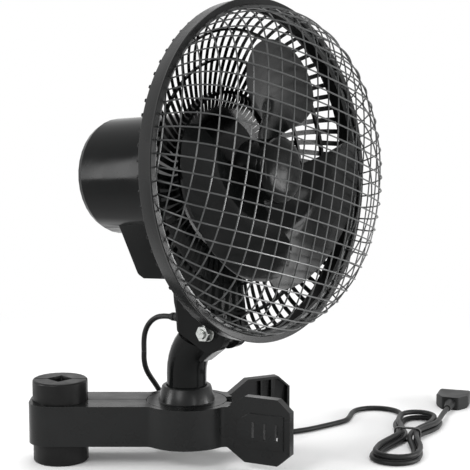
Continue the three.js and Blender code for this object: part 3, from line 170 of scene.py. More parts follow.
CLIP_SIZE = (2.2, 3, 5.6)  # the block that ends each spoke under the ring
CLIP_PLACE = (40.5, 0, 146.3)
CLIP_EDGE = 0.6

# Blades: radius, and degrees from a blade's middle line to its rear and front edge there.
BLADE_EDGES = [
    (26, -38, 35),
    (45.6, -45, 42),
    (60.4, -49.5, 48),
    (75.2, -54, 49.5),
    (90.1, -55, 46),
    (100.3, -53, 38),
    (107.2, -48, 29),
    (111.7, -38, 19),
    (114, -20, 6),
]
BLADE_TURN = 86  # degrees from the level line to the middle of the first blade
BLADE_COLUMNS = 16
BLADE_THICKNESS = 0.9
BLADE_MIDDLE = 54  # where a blade's root stands along the shaft
BLADE_FORWARD = 16.5  # how far the blade stands ahead of its root, once clear of the hub
ROOT_ADVANCE = 11.3  # forward reach over 45 degrees at the root
ADVANCE_GAIN = 7.2  # how much more of it there is clear of the hub
BLADE_DISH = 3.2
HUB_RADIUS = 28
CLEAR_RADIUS = 68.4  # radius at which a blade is clear of the hub
HUB_PROFILE = [
    (41, 25.5),
    (41, HUB_RADIUS),
    (65, HUB_RADIUS),
    (66.4, 27.4),
    (67, 26),
    (67, 4.3),
    (45, 4.3),
    (45, 9),
    (64.5, 9),
    (64.5, 25.5),
]
NOSE_DOME = [(72.3, 29.5), (75.8, 26.8), (78.3, 21.2), (79.5, 13.3), (80, 0)]
NOSE_BACK = [(67.3, 4.3), (67.3, 28.9), (67.9, 29.5)]
NOSE_BORE = [(75, 0), (75, 4.3)]

# Cord
CORD_RADIUS = 2.6
FLOOR = 2.62  # height of the cord's middle where it lies flat
LOOP = [
    (103.15, 12.74, 134.78),
    (96.94, 17.73, 134.1),
    (90.66, 22.79, 132.17),
    (85.09, 27.26, 127.98),
    (80.72, 30.77, 121.87),
    (77.94, 33.01, 114.39),
    (76.98, 33.78, 106.2),
    (76.98, 33.78, 97),
]
RUN = [
    (76.99, 33.78, 96.5),
    (76.9, 33.9, 90),
    (77.7, 34.8, 83),
    (79.7, 37.2, 76),
    (82.9, 41.1, 69),
    (86.9, 45.6, 61.5),
    (91.1, 50.2, 52.8),
    (95.2, 54.8, 42.4),
    (99.3, 59, 31),
    (103.8, 62.8, 20.6),
    (110.8, 66.4, 11.8),
    (120.6, 69.6, 5.8),
    (132.5, 72.2, 3),
    (145, 74, FLOOR),
    (170, 75, FLOOR),
    (195, 77, FLOOR),
    (216, 82, FLOOR),
    (236, 91.4, FLOOR),
    (254, 104.6, FLOOR),
    (272.17, 119.76, FLOOR),
    (278.79, 126.95, FLOOR),
    (282.74, 135.89, FLOOR),
    (288.23, 157.16, FLOOR),
    (291.55, 164.74, FLOOR),
    (297.07, 170.89, FLOOR),
    (304.25, 174.99, FLOOR),
    (312.36, 176.63, FLOOR),
    (320.57, 175.65, FLOOR),
    (328.05, 172.13, FLOOR),
    (334.05, 166.45, FLOOR),
    (337.97, 159.16, FLOOR),
    (339.4, 151.02, FLOOR),
    (338.2, 142.84, FLOOR),
    (335.5, 134.27, FLOOR),
    (333.4, 127.59, FLOOR),
]

# Hank: its runs lie along HANK_ALONG, side by side across it.
HANK_CENTRE = Vector((335, 60, 0))
HANK_ALONG = Vector((0.3, 0.954, 0)).normalized()
HANK_ACROSS = Vector((HANK_ALONG.y, -HANK_ALONG.x, 0))
HANK_RUN = 64  # half the straight run
HANK_LAYER = 5.8  # from one layer to the next
OUTER_RUN = 21.8  # from the hank's middle to the outer, inner and upper runs
INNER_RUN = 15.7
UPPER_RUN = 18.75
WAIST_PULL = 12.65  # how far the tie draws the runs in
WAIST_REACH = 55  # how far from the tie they start to bend
WAIST_LIFT = 1.5
RUN_STEPS = 16
TURN_STEPS = 12
TAIL = 46  # from the last run to the plug
TAIL_STEPS = 8
PLUG_MIDDLE = 6.85  # height of the cord where it enters the plug


class FanSizes(bpy.types.PropertyGroup):
    """Sizes of the fine parts, which don't change the fan's outside dimensions."""

    wire: bpy.props.FloatProperty(
        name="Wire",
        description="Thickness of the front mesh wires",
        default=0.0014,
        unit="LENGTH",
    )
    level_pitch: bpy.props.FloatProperty(
        name="Level pitch",
        description="Spacing of the mesh wires that run nearly level",
        default=0.0127,
        unit="LENGTH",
    )
    steep_pitch: bpy.props.FloatProperty(
        name="Steep pitch",
        description="Spacing of the mesh wires that run nearly upright",
        default=0.016,
        unit="LENGTH",
    )
    spokes: bpy.props.IntProperty(
        name="Spokes",
        description="Number of spokes in the rear grille",
        default=74,
        min=12,
    )
    spoke_width: bpy.props.FloatProperty(
        name="Spoke width",
        description="Width of a rear spoke",
        default=0.0024,
        unit="LENGTH",
    )
    edge: bpy.props.FloatProperty(
        name="Edge",
        description="Rounding of the moulded edges",
        default=0.0006,
        unit="LENGTH",
    )


class FanColours(bpy.types.PropertyGroup):
    """Colours of the fan's main finishes."""

    body: bpy.props.FloatVectorProperty(
        name="Body",
        description="Gloss plastic of the head and blades",
        default=linear("#090a0a"),
        subtype="COLOR",
    )
    clamp: bpy.props.FloatVectorProperty(
        name="Clamp",
        description="Satin plastic of the clamp",
        default=linear("#0e0f0f"),
        subtype="COLOR",
    )
    wires: bpy.props.FloatVectorProperty(
        name="Wires",
        description="Enamel of the front mesh",
        default=linear("#1b1d1d"),
        subtype="COLOR",
    )
    cord: bpy.props.FloatVectorProperty(
        name="Cord",
        description="Vinyl of the cord and plug",
        default=linear("#0f1010"),
        subtype="COLOR",
    )


# ---------------------------------------------------------------- finishes
def add(tree, kind, settings=None, inputs=None):
    """A new node with its settings, and its inputs set or linked by name or number."""
    made = tree.nodes.new(kind)
    for key, value in (settings or {}).items():
        setattr(made, key, value)
    for key, value in (inputs or {}).items():
        socket = made.inputs[key]
        if isinstance(value, bpy.types.NodeSocket):
            tree.links.new(value, socket)
        else:
            socket.default_value = value
    return made


def empty_tree(holder):
    """The node tree of a material or a world, with nothing in it yet."""
    holder.use_nodes = True
    holder.node_tree.nodes.clear()
    return holder.node_tree


def seen_by(tree, *rays):
    """1 where one of these kinds of ray looks, and 0 for the light that falls on things."""
    path = add(tree, "ShaderNodeLightPath")
    seen = path.outputs[rays[0]]
    for ray in rays[1:]:
        both = {0: seen, 1: path.outputs[ray]}
        seen = add(tree, "ShaderNodeMath", {"operation": "MAXIMUM"}, both).outputs[0]
    return seen


def surface(name, colours, roughness, grain, depth, drift, bands=None, shader=None):
    """A finish whose colour and roughness change slowly over drift, with a grain of its own.

    The width and depth of the grain are in mm. bands gives the spacing and depth in mm of ridges
    across an axis of the piece, and the turn that brings that axis to X.
    """
    made = bpy.data.materials.new(name)
    tree = empty_tree(made)
    place = add(tree, "ShaderNodeTexCoord").outputs["Object"]
    slow, fine = (
        add(
            tree,
            "ShaderNodeTexNoise",
            inputs={"Vector": place, "Scale": 1000 / size, "Detail": detail},
        ).outputs[0]
        for size, detail in ((drift, 3), (grain, 2))
    )
    colour = add(
        tree,
        "ShaderNodeMix",
        {"data_type": "RGBA"},
        {0: slow, 6: (*colours[0], 1), 7: (*colours[1], 1)},
    )
    rough = add(
        tree,
        "ShaderNodeMapRange",
        inputs={
            "Value": slow,
            "From Min": 0.35,
            "From Max": 0.65,
            "To Min": roughness[0],
            "To Max": roughness[1],
        },
    )
    normal = add(tree, "ShaderNodeBump", inputs={"Distance": depth / 1000, "Height": fine})
    if bands:
        pitch, ridge, turn = bands
        turned = add(tree, "ShaderNodeMapping", inputs={"Vector": place, "Rotation": turn})
        wave = add(
            tree,
            "ShaderNodeTexWave",
            {"bands_direction": "X"},
            {"Vector": turned.outputs[0], "Scale": 2 * pi / 20 * 1000 / pitch},
        )
        normal = add(
            tree,
            "ShaderNodeBump",
            inputs={
                "Distance": ridge / 1000,
                "Height": wave.outputs["Fac"],
                "Normal": normal.outputs[0],
            },
        )
    principled = add(
        tree,
        "ShaderNodeBsdfPrincipled",
        inputs={
            "Base Color": colour.outputs[2],
            "Roughness": rough.outputs[0],
            "Normal": normal.outputs[0],
            **(shader or {}),
        },
    )
    add(tree, "ShaderNodeOutputMaterial", inputs={"Surface": principled.outputs[0]})
    return made


def lighter(colour, share):
    """A colour moved towards white by a share."""
    return tuple(c + share * (1 - c) for c in colour)


def dull(ior, level):
    """The gloss of a black finish: carbon black in its skin reflects less than bare resin."""
    return {"IOR": ior, "Specular IOR Level": level}


def gloss_abs(name):
    """Injection-moulded ABS from a polished tool: a deep gloss with a faint ripple over 3 mm."""
    base = bpy.context.scene.fan_colours.body
    colours = (base, lighter(base, 0.003))
    return surface(name, colours, (0.13, 0.22), 3, 0.01, 35, shader=dull(1.54, 0.09))


def ring_abs(name):
    """The same ABS from a finer-lined tool, which spreads the highlight along the ring."""
    base = bpy.context.scene.fan_colours.body
    colours = (lighter(base, 0.002), lighter(base, 0.006))
    return surface(name, colours, (0.2, 0.3), 1.2, 0.01, 30, shader=dull(1.54, 0.14))


def satin_abs(name):
    """ABS from a spark-eroded tool: a satin grain of 0.4 mm, drawn at 0.8 mm so that it shows."""
    base = bpy.context.scene.fan_colours.clamp
    colours = (base, lighter(base, 0.005))
    return surface(name, colours, (0.24, 0.36), 0.8, 0.015, 22, shader=dull(1.54, 0.18))


def pad_rubber(name):
    """Hard moulded rubber of the pads: a soft sheen over a grain coarser than the plastic's."""
    base = linear("#0c0c0c")
    colours = (base, lighter(base, 0.004))
    return surface(name, colours, (0.3, 0.45), 1.1, 0.03, 12, shader=dull(1.52, 0.14))


def stove_enamel(name):
    """Stove enamel on drawn steel wire: smooth, with a bright line along each wire."""
    base = bpy.context.scene.fan_colours.wires
    colours = (base, lighter(base, 0.04))
    return surface(name, colours, (0.26, 0.38), 2, 0.01, 18, shader=dull(1.6, 0.4))


def zinc_plate(name):
    """Bright zinc plate on steel: a cool grey metal that is slightly cloudy."""
    colours = (linear("#a4a6a4"), linear("#bdbfbc"))
    return surface(name, colours, (0.24, 0.42), 0.7, 0.008, 5, shader={"Metallic": 1})


def ground_steel(name):
    """Oiled steel bar, ground round: rings of 0.3 mm across the shaft, drawn at 0.6 mm."""
    colours = (linear("#5c5f61"), linear("#74777a"))
    rings = (0.6, 0.01, SHAFT_TO_X)
    return surface(name, colours, (0.28, 0.4), 1.5, 0.004, 8, rings, {"Metallic": 1})


def lamination_steel(name):
    """Varnished silicon-steel sheets of 0.5 mm in a stack, seen from the edge, drawn at 1 mm."""
    colours = (linear("#4d5053"), linear("#6a6e71"))
    sheets = (1, 0.12, SHAFT_TO_X)
    return surface(name, colours, (0.4, 0.6), 1, 0.01, 10, sheets, {"Metallic": 0.85})


def winding_copper(name):
    """Enamelled copper wire of 0.4 mm in close turns, drawn at 0.8 mm: amber-red metal ridges."""
    colours = (linear("#8a4a22"), linear("#b5713c"))
    turns = (0.8, 0.2, SHAFT_TO_X)
    return surface(name, colours, (0.25, 0.4), 0.8, 0.02, 6, turns, {"Metallic": 0.9})


def soft_vinyl(name):
    """Extruded soft vinyl: a smooth sleeve with a dull sheen and faint draw marks."""
    base = bpy.context.scene.fan_colours.cord
    colours = (base, lighter(base, 0.005))
    return surface(name, colours, (0.36, 0.5), 1.5, 0.015, 20, shader=dull(1.53, 0.2))


def nickel_plate(name):
    """Nickel plate on brass pins: warm pale metal, nearly a mirror."""
    colours = (linear("#b7b2a6"), linear("#cbc6ba"))
    return surface(name, colours, (0.16, 0.28), 1, 0.003, 6, shader={"Metallic": 1})


FINISHES = {
    made.__name__: made
    for made in (
        gloss_abs,
        ring_abs,
        satin_abs,
        pad_rubber,
        stove_enamel,
        zinc_plate,
        ground_steel,
        lamination_steel,
        winding_copper,
        soft_vinyl,
        nickel_plate,
    )
}


def finish(name):
    """The finish of that name, made once."""
    return bpy.data.materials.get(name) or FINISHES[name](name)


# ---------------------------------------------------------------- shapes
def mesh_of(form, name):
    """A new mesh from a bmesh, which is let go."""
    mesh = bpy.data.meshes.new(name)
    form.to_mesh(mesh)
    form.free()
    return mesh


def place_piece(name, mesh, body, look, sharp=32):
    """Adds a mesh to the scene on its body, smooth but for edges sharper than sharp degrees."""
    made = bpy.data.objects.new(name, mesh)
    bpy.context.scene.collection.objects.link(made)
    mesh.materials.clear()
    mesh.materials.append(finish(look))
    mesh.shade_smooth()
    mesh.set_sharp_from_angle(angle=radians(sharp))
    if body:
        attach(made, body)
    return made


def drawn(name, form, place, body, slot, look, sharp=32):
    """A piece from a shape drawn in millimetres, in the frame it was drawn in."""
    bmesh.ops.transform(form, matrix=MILLIMETRES @ place, verts=form.verts)
    return place_piece(name, mesh_of(form, name), body, look, sharp)


def round_edges(piece, width):
    """Rounds a piece's edges by width in metres."""
    bevel = piece.modifiers.new("edges", "BEVEL")
    bevel.width = width
    bevel.segments = 2
    bevel.limit_method = "ANGLE"
    bevel.angle_limit = radians(34)


def smoothed(node, name, body, look, edge=0.0, sharp=32):
    """A smooth-shaded copy of a node with its mould edges rounded, in place of the node."""
    form = bmesh.new()
    form.from_mesh(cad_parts[node].data)
    bmesh.ops.remove_doubles(form, verts=form.verts, dist=2e-6)
    bmesh.ops.dissolve_limit(form, angle_limit=radians(0.5), verts=form.verts, edges=form.edges)
    made = place_piece(name, mesh_of(form, name), body, look, sharp)
    if edge:
        round_edges(made, edge)
    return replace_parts(made, node)


def dress(look, *nodes):
    """Gives nodes that keep their own shape their finish."""
    for node in nodes:
        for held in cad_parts[node].material_slots:
            held.material = finish(look)


def hermite(b, c, leave, arrive, t):
    """The point at t from 0 to 1 on the way from b to c, with a slope at either end."""
    square = 3 * (c - b) - 2 * leave - arrive
    cube = 2 * (b - c) + leave + arrive
    return b + t * leave + t * t * square + t**3 * cube


def through(points, steps):
    """A smooth line through points, knotted by the root of their spacing."""
    points = [Vector(p) for p in points]
    ends = [2 * points[0] - points[1], *points, 2 * points[-1] - points[-2]]
    line = []
    for a, b, c, d in zip(ends, ends[1:], ends[2:], ends[3:]):
        before, here, after = ((q - p).length ** 0.5 for p, q in ((a, b), (b, c), (c, d)))
        leave = ((b - a) / before - (c - a) / (before + here) + (c - b) / here) * here
        arrive = ((c - b) / here - (d - b) / (here + after) + (d - c) / after) * here
        line += [hermite(b, c, leave, arrive, step / steps) for step in range(steps)]
    return [*line, points[-1]]


def outline(points, steps):
    """A smooth line through points, evenly knotted."""
    points = [Vector(p) for p in points]
    ends = [points[0], *points, points[-1]]
    line = []
    for a, b, c, d in zip(ends, ends[1:], ends[2:], ends[3:]):
        line += [hermite(b, c, (c - a) / 2, (d - b) / 2, step / steps) for step in range(steps)]
    return [*line, points[-1]]


def lathe(profile, steps):
    """A closed profile of (x, radius) turned a full turn about X."""
    form = bmesh.new()
    ring = [form.verts.new((x, 0, r)) for x, r in profile]
    edges = [form.edges.new(pair) for pair in zip(ring, [*ring[1:], ring[0]])]
    bmesh.ops.spin(
        form,
        geom=[*ring, *edges],
        axis=(1, 0, 0),
        angle=2 * pi,
        steps=steps,
        use_merge=True,
    )
    bmesh.ops.remove_doubles(form, verts=form.verts, dist=0.002)
    bmesh.ops.recalc_face_normals(form, faces=form.faces)
    return form


def all_round(form, count):
    """Repeats a shape evenly about X."""
    bmesh.ops.spin(
        form,
        geom=[*form.verts, *form.edges, *form.faces],
        axis=(1, 0, 0),
        angle=2 * pi * (count - 1) / count,
        steps=count - 1,
        use_duplicate=True,
    )


def joined(*forms):
    """Shapes drawn in one frame as one."""
    first, *rest = forms
    for form in rest:
        mesh = mesh_of(form, "part")
        first.from_mesh(mesh)
        bpy.data.meshes.remove(mesh)
    return first


def meshed(curve):
    """A round curve as a mesh."""
    carrier = bpy.data.objects.new(curve.name, curve)
    bpy.context.scene.collection.objects.link(carrier)
    bpy.context.view_layer.update()
    shaped = carrier.evaluated_get(bpy.context.evaluated_depsgraph_get())
    mesh = bpy.data.meshes.new_from_object(shaped)
    bpy.data.objects.remove(carrier)
    return mesh


def rods(name, lines, radius, sides, body, slot, look):
    """Round rods along lines of points, as one mesh, with lengths in metres.

    sides is the curve's bevel resolution.
    """
    curve = bpy.data.curves.new(name, "CURVE")
    curve.dimensions = "3D"
    curve.bevel_depth = radius
    curve.bevel_resolution = sides
    curve.use_fill_caps = True
    for points in lines:
        line = curve.splines.new("POLY")
        line.points.add(len(points) - 1)
        for knot, place in zip(line.points, points):
            knot.co = (*place, 1)
    return place_piece(name, meshed(curve), body, look)


# ---------------------------------------------------------------- operators
class FAN_OT_camera(bpy.types.Operator):
    """Set the camera where the photograph was taken from"""

    bl_idname = "fan.camera"
    bl_label = "Camera"

    def execute(self, context):
        lens = bpy.data.cameras.new("camera")
        lens.sensor_width = SENSOR
        lens.lens = LENS
        camera = bpy.data.objects.new("camera", lens)
        camera.location = CAMERA_PLACE
        camera.rotation_euler = (radians(CAMERA_TILT), 0, 0)
        context.scene.collection.objects.link(camera)
        context.scene.camera = camera
        context.scene.view_settings.view_transform = "Standard"
        return {"FINISHED"}


def eased(t):
    """t from 0 to 1, starting and ending slowly."""
    return t * t * (3 - 2 * t)


def hank_point(q, s, z):
    """A point of the hank: across q, along s, height z, drawn in near the tie."""
    near = (1 + cos(pi * s / WAIST_REACH)) / 2 if abs(s) < WAIST_REACH else 0
    across = q - (WAIST_PULL if q > 0 else -WAIST_PULL) * near
    flat = HANK_CENTRE + across * HANK_ACROSS + s * HANK_ALONG
    return flat + Vector((0, 0, z + WAIST_LIFT * near))


def hank_run(q, direction, low, top):
    """The points of a straight run across q, which climbs from low to top."""
    line = []
    for i in range(RUN_STEPS + 1):
        t = i / RUN_STEPS
        height = low + (top - low) * eased(t)
        line.append(hank_point(q, direction * HANK_RUN * (2 * t - 1), height))
    return line


def hank_turn(start, end, direction, z):
    """The points of a half turn at an end of the hank, from across start to across end."""
    middle, radius = (start + end) / 2, (end - start) / 2
    line = []
    for i in range(1, TURN_STEPS):
        angle = pi * i / TURN_STEPS
        reach = direction * (HANK_RUN + abs(radius) * sin(angle))
        line.append(hank_point(middle - radius * cos(angle), reach, z))
    return line


def hank_line():
    """The cord's way round the hank: two loops on the floor, one above them, and the tail."""
    high = FLOOR + HANK_LAYER
    line = [
        *hank_run(-OUTER_RUN, -1, FLOOR, FLOOR),
        *hank_turn(-OUTER_RUN, OUTER_RUN, -1, FLOOR),
        *hank_run(OUTER_RUN, 1, FLOOR, FLOOR),
        *hank_turn(OUTER_RUN, -INNER_RUN, 1, FLOOR),
        *hank_run(-INNER_RUN, -1, FLOOR, FLOOR),
        *hank_turn(-INNER_RUN, INNER_RUN, -1, FLOOR),
        *hank_run(INNER_RUN, 1, FLOOR, high),
        *hank_turn(INNER_RUN, -UPPER_RUN, 1, high),
        *hank_run(-UPPER_RUN, -1, high, high),
        *hank_turn(-UPPER_RUN, OUTER_RUN, -1, high),
        *hank_run(OUTER_RUN, 1, high, high),
    ]
    start, plug = line[-1].copy(), hank_point(OUTER_RUN, HANK_RUN + TAIL, PLUG_MIDDLE)
    for i in range(1, TAIL_STEPS + 1):
        t = i / TAIL_STEPS
        place = start.lerp(plug, t)
        place.z = start.z + (plug.z - start.z) * eased(max(0, (t - 0.3) / 0.7))
        line.append(place)
    return line


class FAN_OT_cord(bpy.types.Operator):
    """Lay the mains cord: its loop behind the neck, its run and hank on the floor, tie and plug"""

    bl_idname = "fan.cord"
    bl_label = "Cord"

    def execute(self, context):
        edge = context.scene.fan_sizes.edge
        tie = smoothed("cord_tie", "wire_tie", "clamp", "satin_abs", TIE_EDGE)
        plug = smoothed("plug_body", "plug", "clamp", "soft_vinyl", edge)
        pins = [
            smoothed(f"plug_pin_{i}", f"pin_{i}", "clamp", "nickel_plate")
            for i in (1, 2)
        ]
        loop_path = [p / 1000 for p in through(LOOP, 6)]
        main_path = [p / 1000 for p in through(RUN, 4) + hank_line()[1:]]
        loop, main = (
            rods(name, [path], CORD_RADIUS / 1000, 4, None, "cord_vinyl", "soft_vinyl")
            for name, path in (("cord_loop_sleeve", loop_path), ("mains_cord", main_path))
        )
        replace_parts(loop, "cord_loop")
        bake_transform(loop)
        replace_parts(main, "cord_run", "cord_hank")
        # The blend ends high up, so that the cord clears the jaws as the neck turns.
        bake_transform(main)
        return {"FINISHED"}


class FAN_OT_clamp(bpy.types.Operator):
    """Finish the jaws, their pads and spring, and the swivel socket"""

    bl_idname = "fan.clamp"
    bl_label = "Clamp"

    def execute(self, context):
        edge = context.scene.fan_sizes.edge
        smoothed("front_jaw", "jaw_front", "clamp", "satin_abs", edge)
        smoothed("rear_jaw", "jaw_rear", "moving_jaw", "satin_abs", edge)
        smoothed("front_grip_pad", "pad_front", "clamp", "pad_rubber", edge)
        smoothed("rear_grip_pad", "pad_rear", "moving_jaw", "pad_rubber", edge)
        smoothed("swivel_socket", "socket", "clamp", "satin_abs", edge)
        smoothed("jaw_spring", "spring", "clamp", "zinc_plate", sharp=80)
        smoothed("swivel_washer", "washer_below", "neck_arm", "zinc_plate")
        smoothed("swivel_screw", "screw_below", "neck_arm", "zinc_plate")
        return {"FINISHED"}


class FAN_OT_neck(bpy.types.Operator):
    """Finish the neck, the head bracket, the tilt hinge and the strain relief"""

    bl_idname = "fan.neck"
    bl_label = "Neck"

    def execute(self, context):
        edge = context.scene.fan_sizes.edge
        smoothed("neck", "neck_arm_tube", "neck_arm", "gloss_abs", edge)
        smoothed("head_bracket", "bracket", "fan_head", "gloss_abs", edge)
        smoothed("strain_relief", "relief", "fan_head", "soft_vinyl", FINE_EDGE, 45)
        for node in ("tilt_bolt", "tilt_nut", "tilt_washer_1", "tilt_washer_2"):
            name = node.replace("tilt", "hinge")
            smoothed(node, name, "fan_head", "zinc_plate", FINE_EDGE)
        return {"FINISHED"}


class FAN_OT_motor(bpy.types.Operator):
    """Finish the motor cover, the motor inside it, the switch and its knob"""

    bl_idname = "fan.motor"
    bl_label = "Motor"

    def execute(self, context):
        edge = context.scene.fan_sizes.edge
        smoothed("motor_cover", "cover", "fan_head", "gloss_abs", edge)
        smoothed("speed_knob", "knob", "knob", "satin_abs", edge / 2)
        for i in (1, 2):
            name = f"screw_back_{i}"
            smoothed(f"cover_screw_{i}", name, "fan_head", "zinc_plate")
        dress("lamination_steel", "stator_core", "rotor_core")
        dress("winding_copper", "field_coil_1", "field_coil_2", "field_coil_3", "field_coil_4")
        dress("winding_copper", "front_bush", "rear_bush")
        dress("zinc_plate", "front_bearing_bracket", "rear_bearing_bracket")
        dress("ground_steel", "rotor_shaft")
        dress("satin_abs", "speed_switch")
        return {"FINISHED"}


def blade_point(middle, r, off):
    """A point of a blade's middle surface: radius r, off degrees from the blade's middle line."""
    share = eased(min(1, max(0, (r - HUB_RADIUS) / (CLEAR_RADIUS - HUB_RADIUS))))
    f = off / 45
    advance = (ROOT_ADVANCE + ADVANCE_GAIN * share) * f
    x = BLADE_MIDDLE + BLADE_FORWARD * share + advance - BLADE_DISH * (1 - f * f)
    angle = radians(middle + off)
    return Vector((x, r * cos(angle), r * sin(angle)))


def blade(middle):
    """One blade, with its middle line at the given angle in degrees."""
    edges = outline(BLADE_EDGES, 4)
    rows = len(edges) - 1
    form = bmesh.new()
    bmesh.ops.create_grid(form, x_segments=rows, y_segments=BLADE_COLUMNS, size=1)
    for vert in form.verts:
        r, rear, front = edges[round((vert.co.x + 1) / 2 * rows)]
        vert.co = blade_point(middle, r, rear + (front - rear) * (vert.co.y + 1) / 2)
    bmesh.ops.solidify(form, geom=form.faces, thickness=BLADE_THICKNESS)
    bmesh.ops.recalc_face_normals(form, faces=form.faces)
    return form


class FAN_OT_blades(bpy.types.Operator):
    """Make the three blades on their hub, and the domed spinner in front"""

    bl_idname = "fan.blades"
    bl_label = "Blades"

    def execute(self, context):
        forms = [blade(BLADE_TURN + turn) for turn in (0, 120, 240)]
        form = joined(lathe(HUB_PROFILE, 72), *forms)
        wheel = drawn("blade_wheel", form, FAN_AXIS, "rotor", "gloss_black", "gloss_abs", 40)
        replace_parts(wheel, "fan_blade")
        form = lathe([*NOSE_BACK, *outline(NOSE_DOME, 5), *NOSE_BORE], 72)
        spinner = drawn("nose", form, FAN_AXIS, "rotor", "gloss_black", "gloss_abs", 40)
        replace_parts(spinner, "spinner")
        return {"FINISHED"}


class FAN_OT_ring(bpy.types.Operator):
    """Make the ring that holds the two halves of the cage together"""

    bl_idname = "fan.ring"
    bl_label = "Ring"

    def execute(self, context):
        form = lathe(RING_PROFILE, 180)
        ring = drawn("ring", form, FAN_AXIS, "fan_head", "ring_black", "ring_abs", 40)
        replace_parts(ring, "grille_ring")
        return {"FINISHED"}


def dish_depth(r):
    """Where the middle of the rear grille stands along the shaft at radius r."""
    dish = outline(DISH, 20)
    for a, b in zip(dish, dish[1:]):
        if b.y >= r:
            return max(PLATE_DEPTH, a.x + (b.x - a.x) * (r - a.y) / (b.y - a.y))
    return dish[-1].x


def band(inner, outer, thick):
    """A ring of the rear grille between two radii."""
    near, far = dish_depth(inner) - thick / 2, dish_depth(outer) - thick / 2
    shape = [(near, inner), (near + thick, inner), (far + thick, outer), (far, outer)]
    return lathe(shape, 144)


def spoke(width):
    """One leaning spoke of the rear grille, of a width in mm."""
    form = bmesh.new()
    bmesh.ops.create_grid(form, x_segments=SPOKE_ROWS, y_segments=1, size=1)
    for vert in form.verts:
        r = SPOKE_FOOT + (SPOKE_END - SPOKE_FOOT) * (vert.co.x + 1) / 2
        lean = SPOKE_SWIRL * max(0, r - PLATE_RADIUS) / (SEAT_RADIUS - PLATE_RADIUS)
        angle = -lean + vert.co.y * width / 2 / r
        vert.co = (dish_depth(r), r * cos(angle), r * sin(angle))
    bmesh.ops.solidify(form, geom=form.faces, thickness=SPOKE_THICKNESS)
    bmesh.ops.recalc_face_normals(form, faces=form.faces)
    bmesh.ops.translate(form, vec=(-SPOKE_THICKNESS / 2, 0, 0), verts=form.verts)
    low = min(vert.co.x for vert in form.verts)
    bmesh.ops.translate(form, vec=(max(0, GRILLE_BACK - low), 0, 0), verts=form.verts)
    return form


def spoke_clip():
    """The block at a spoke's outer end."""
    form = bmesh.new()
    bmesh.ops.create_cube(form, size=1)
    bmesh.ops.scale(form, vec=CLIP_SIZE, verts=form.verts)
    bmesh.ops.translate(form, vec=CLIP_PLACE, verts=form.verts)
    bmesh.ops.bevel(
        form,
        geom=form.edges[:],
        offset=CLIP_EDGE,
        offset_type="OFFSET",
        segments=2,
        profile=0.5,
        affect="EDGES",
        material=-1,
    )
    return form


class FAN_OT_rear_grille(bpy.types.Operator):
    """Make the rear grille: hub plate, leaning spokes and clips, thin rings, rim and collar"""

    bl_idname = "fan.rear_grille"
    bl_label = "Rear grille"

    def execute(self, context):
        sizes = context.scene.fan_sizes
        spokes, clips = spoke(sizes.spoke_width * 1000), spoke_clip()
        for form in (spokes, clips):
            all_round(form, sizes.spokes)
        rings = [band(*sides) for sides in BANDS]
        form = joined(spokes, *rings, clips, lathe(COLLAR_PROFILE, 96))
        grille = drawn("rear_cage", form, FAN_AXIS, "fan_head", "gloss_black", "gloss_abs")
        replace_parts(grille, "rear_grille")
        return {"FINISHED"}


class FAN_OT_front_grille(bpy.types.Operator):
    """Make the front mesh: two crossing sets of wires pressed into a dome, and their hoop"""

    bl_idname = "fan.front_grille"
    bl_label = "Front grille"

    def execute(self, context):
        sizes = context.scene.fan_sizes
        dome = outline(DOME, 24)
        lengths = [0.0]
        for a, b in zip(dome, dome[1:]):
            lengths.append(lengths[-1] + (b - a).length)
        keep = lengths[-1] - MESH_MARGIN
        offset = sizes.wire * 1000 * WIRE_OFFSET

        def on_dome(u, v, side):
            """The point u and v along the dome from its top, on the given side of the dome."""
            rho = min(hypot(u, v), lengths[-1])
            i = next(k for k, length in enumerate(lengths) if length >= rho) or 1
            t = (rho - lengths[i - 1]) / (lengths[i] - lengths[i - 1])
            p, way = dome[i - 1].lerp(dome[i], t), (dome[i] - dome[i - 1]).normalized()
            x, r = p.x + side * offset * way.y, p.y - side * offset * way.x
            angle = atan2(v, u) - MESH_TURN
            return MILLIMETRES @ FAN_AXIS @ Vector((x, r * cos(angle), r * sin(angle)))

        def family(pitch, side, upright):
            """The wires that run one way."""
            lines = []
            count = int(keep / pitch + 0.5)
            for k in range(-count, count):
                fixed = (k + 0.5) * pitch
                if abs(fixed) > keep - LAST_WIRE:
                    continue
                end = (keep**2 - fixed**2) ** 0.5
                steps = max(4, round(2 * end / WIRE_STEP))
                spots = [-end + 2 * end * i / steps for i in range(steps + 1)]
                crossing = [(fixed, spot) if upright else (spot, fixed) for spot in spots]
                lines.append([on_dome(u, v, side) for u, v in crossing])
            return lines

        level = family(sizes.level_pitch * 1000, 1, False)
        steep = family(sizes.steep_pitch * 1000, -1, True)
        finished = ("fan_head", "wire_enamel", "stove_enamel")
        mesh = rods("front_mesh", level + steep, sizes.wire / 2, 1, *finished)
        hoop = drawn("mesh_hoop", lathe(HOOP_PROFILE, 144), FAN_AXIS, *finished)
        for made in (mesh, hoop):
            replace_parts(made, "front_grille")
        return {"FINISHED"}


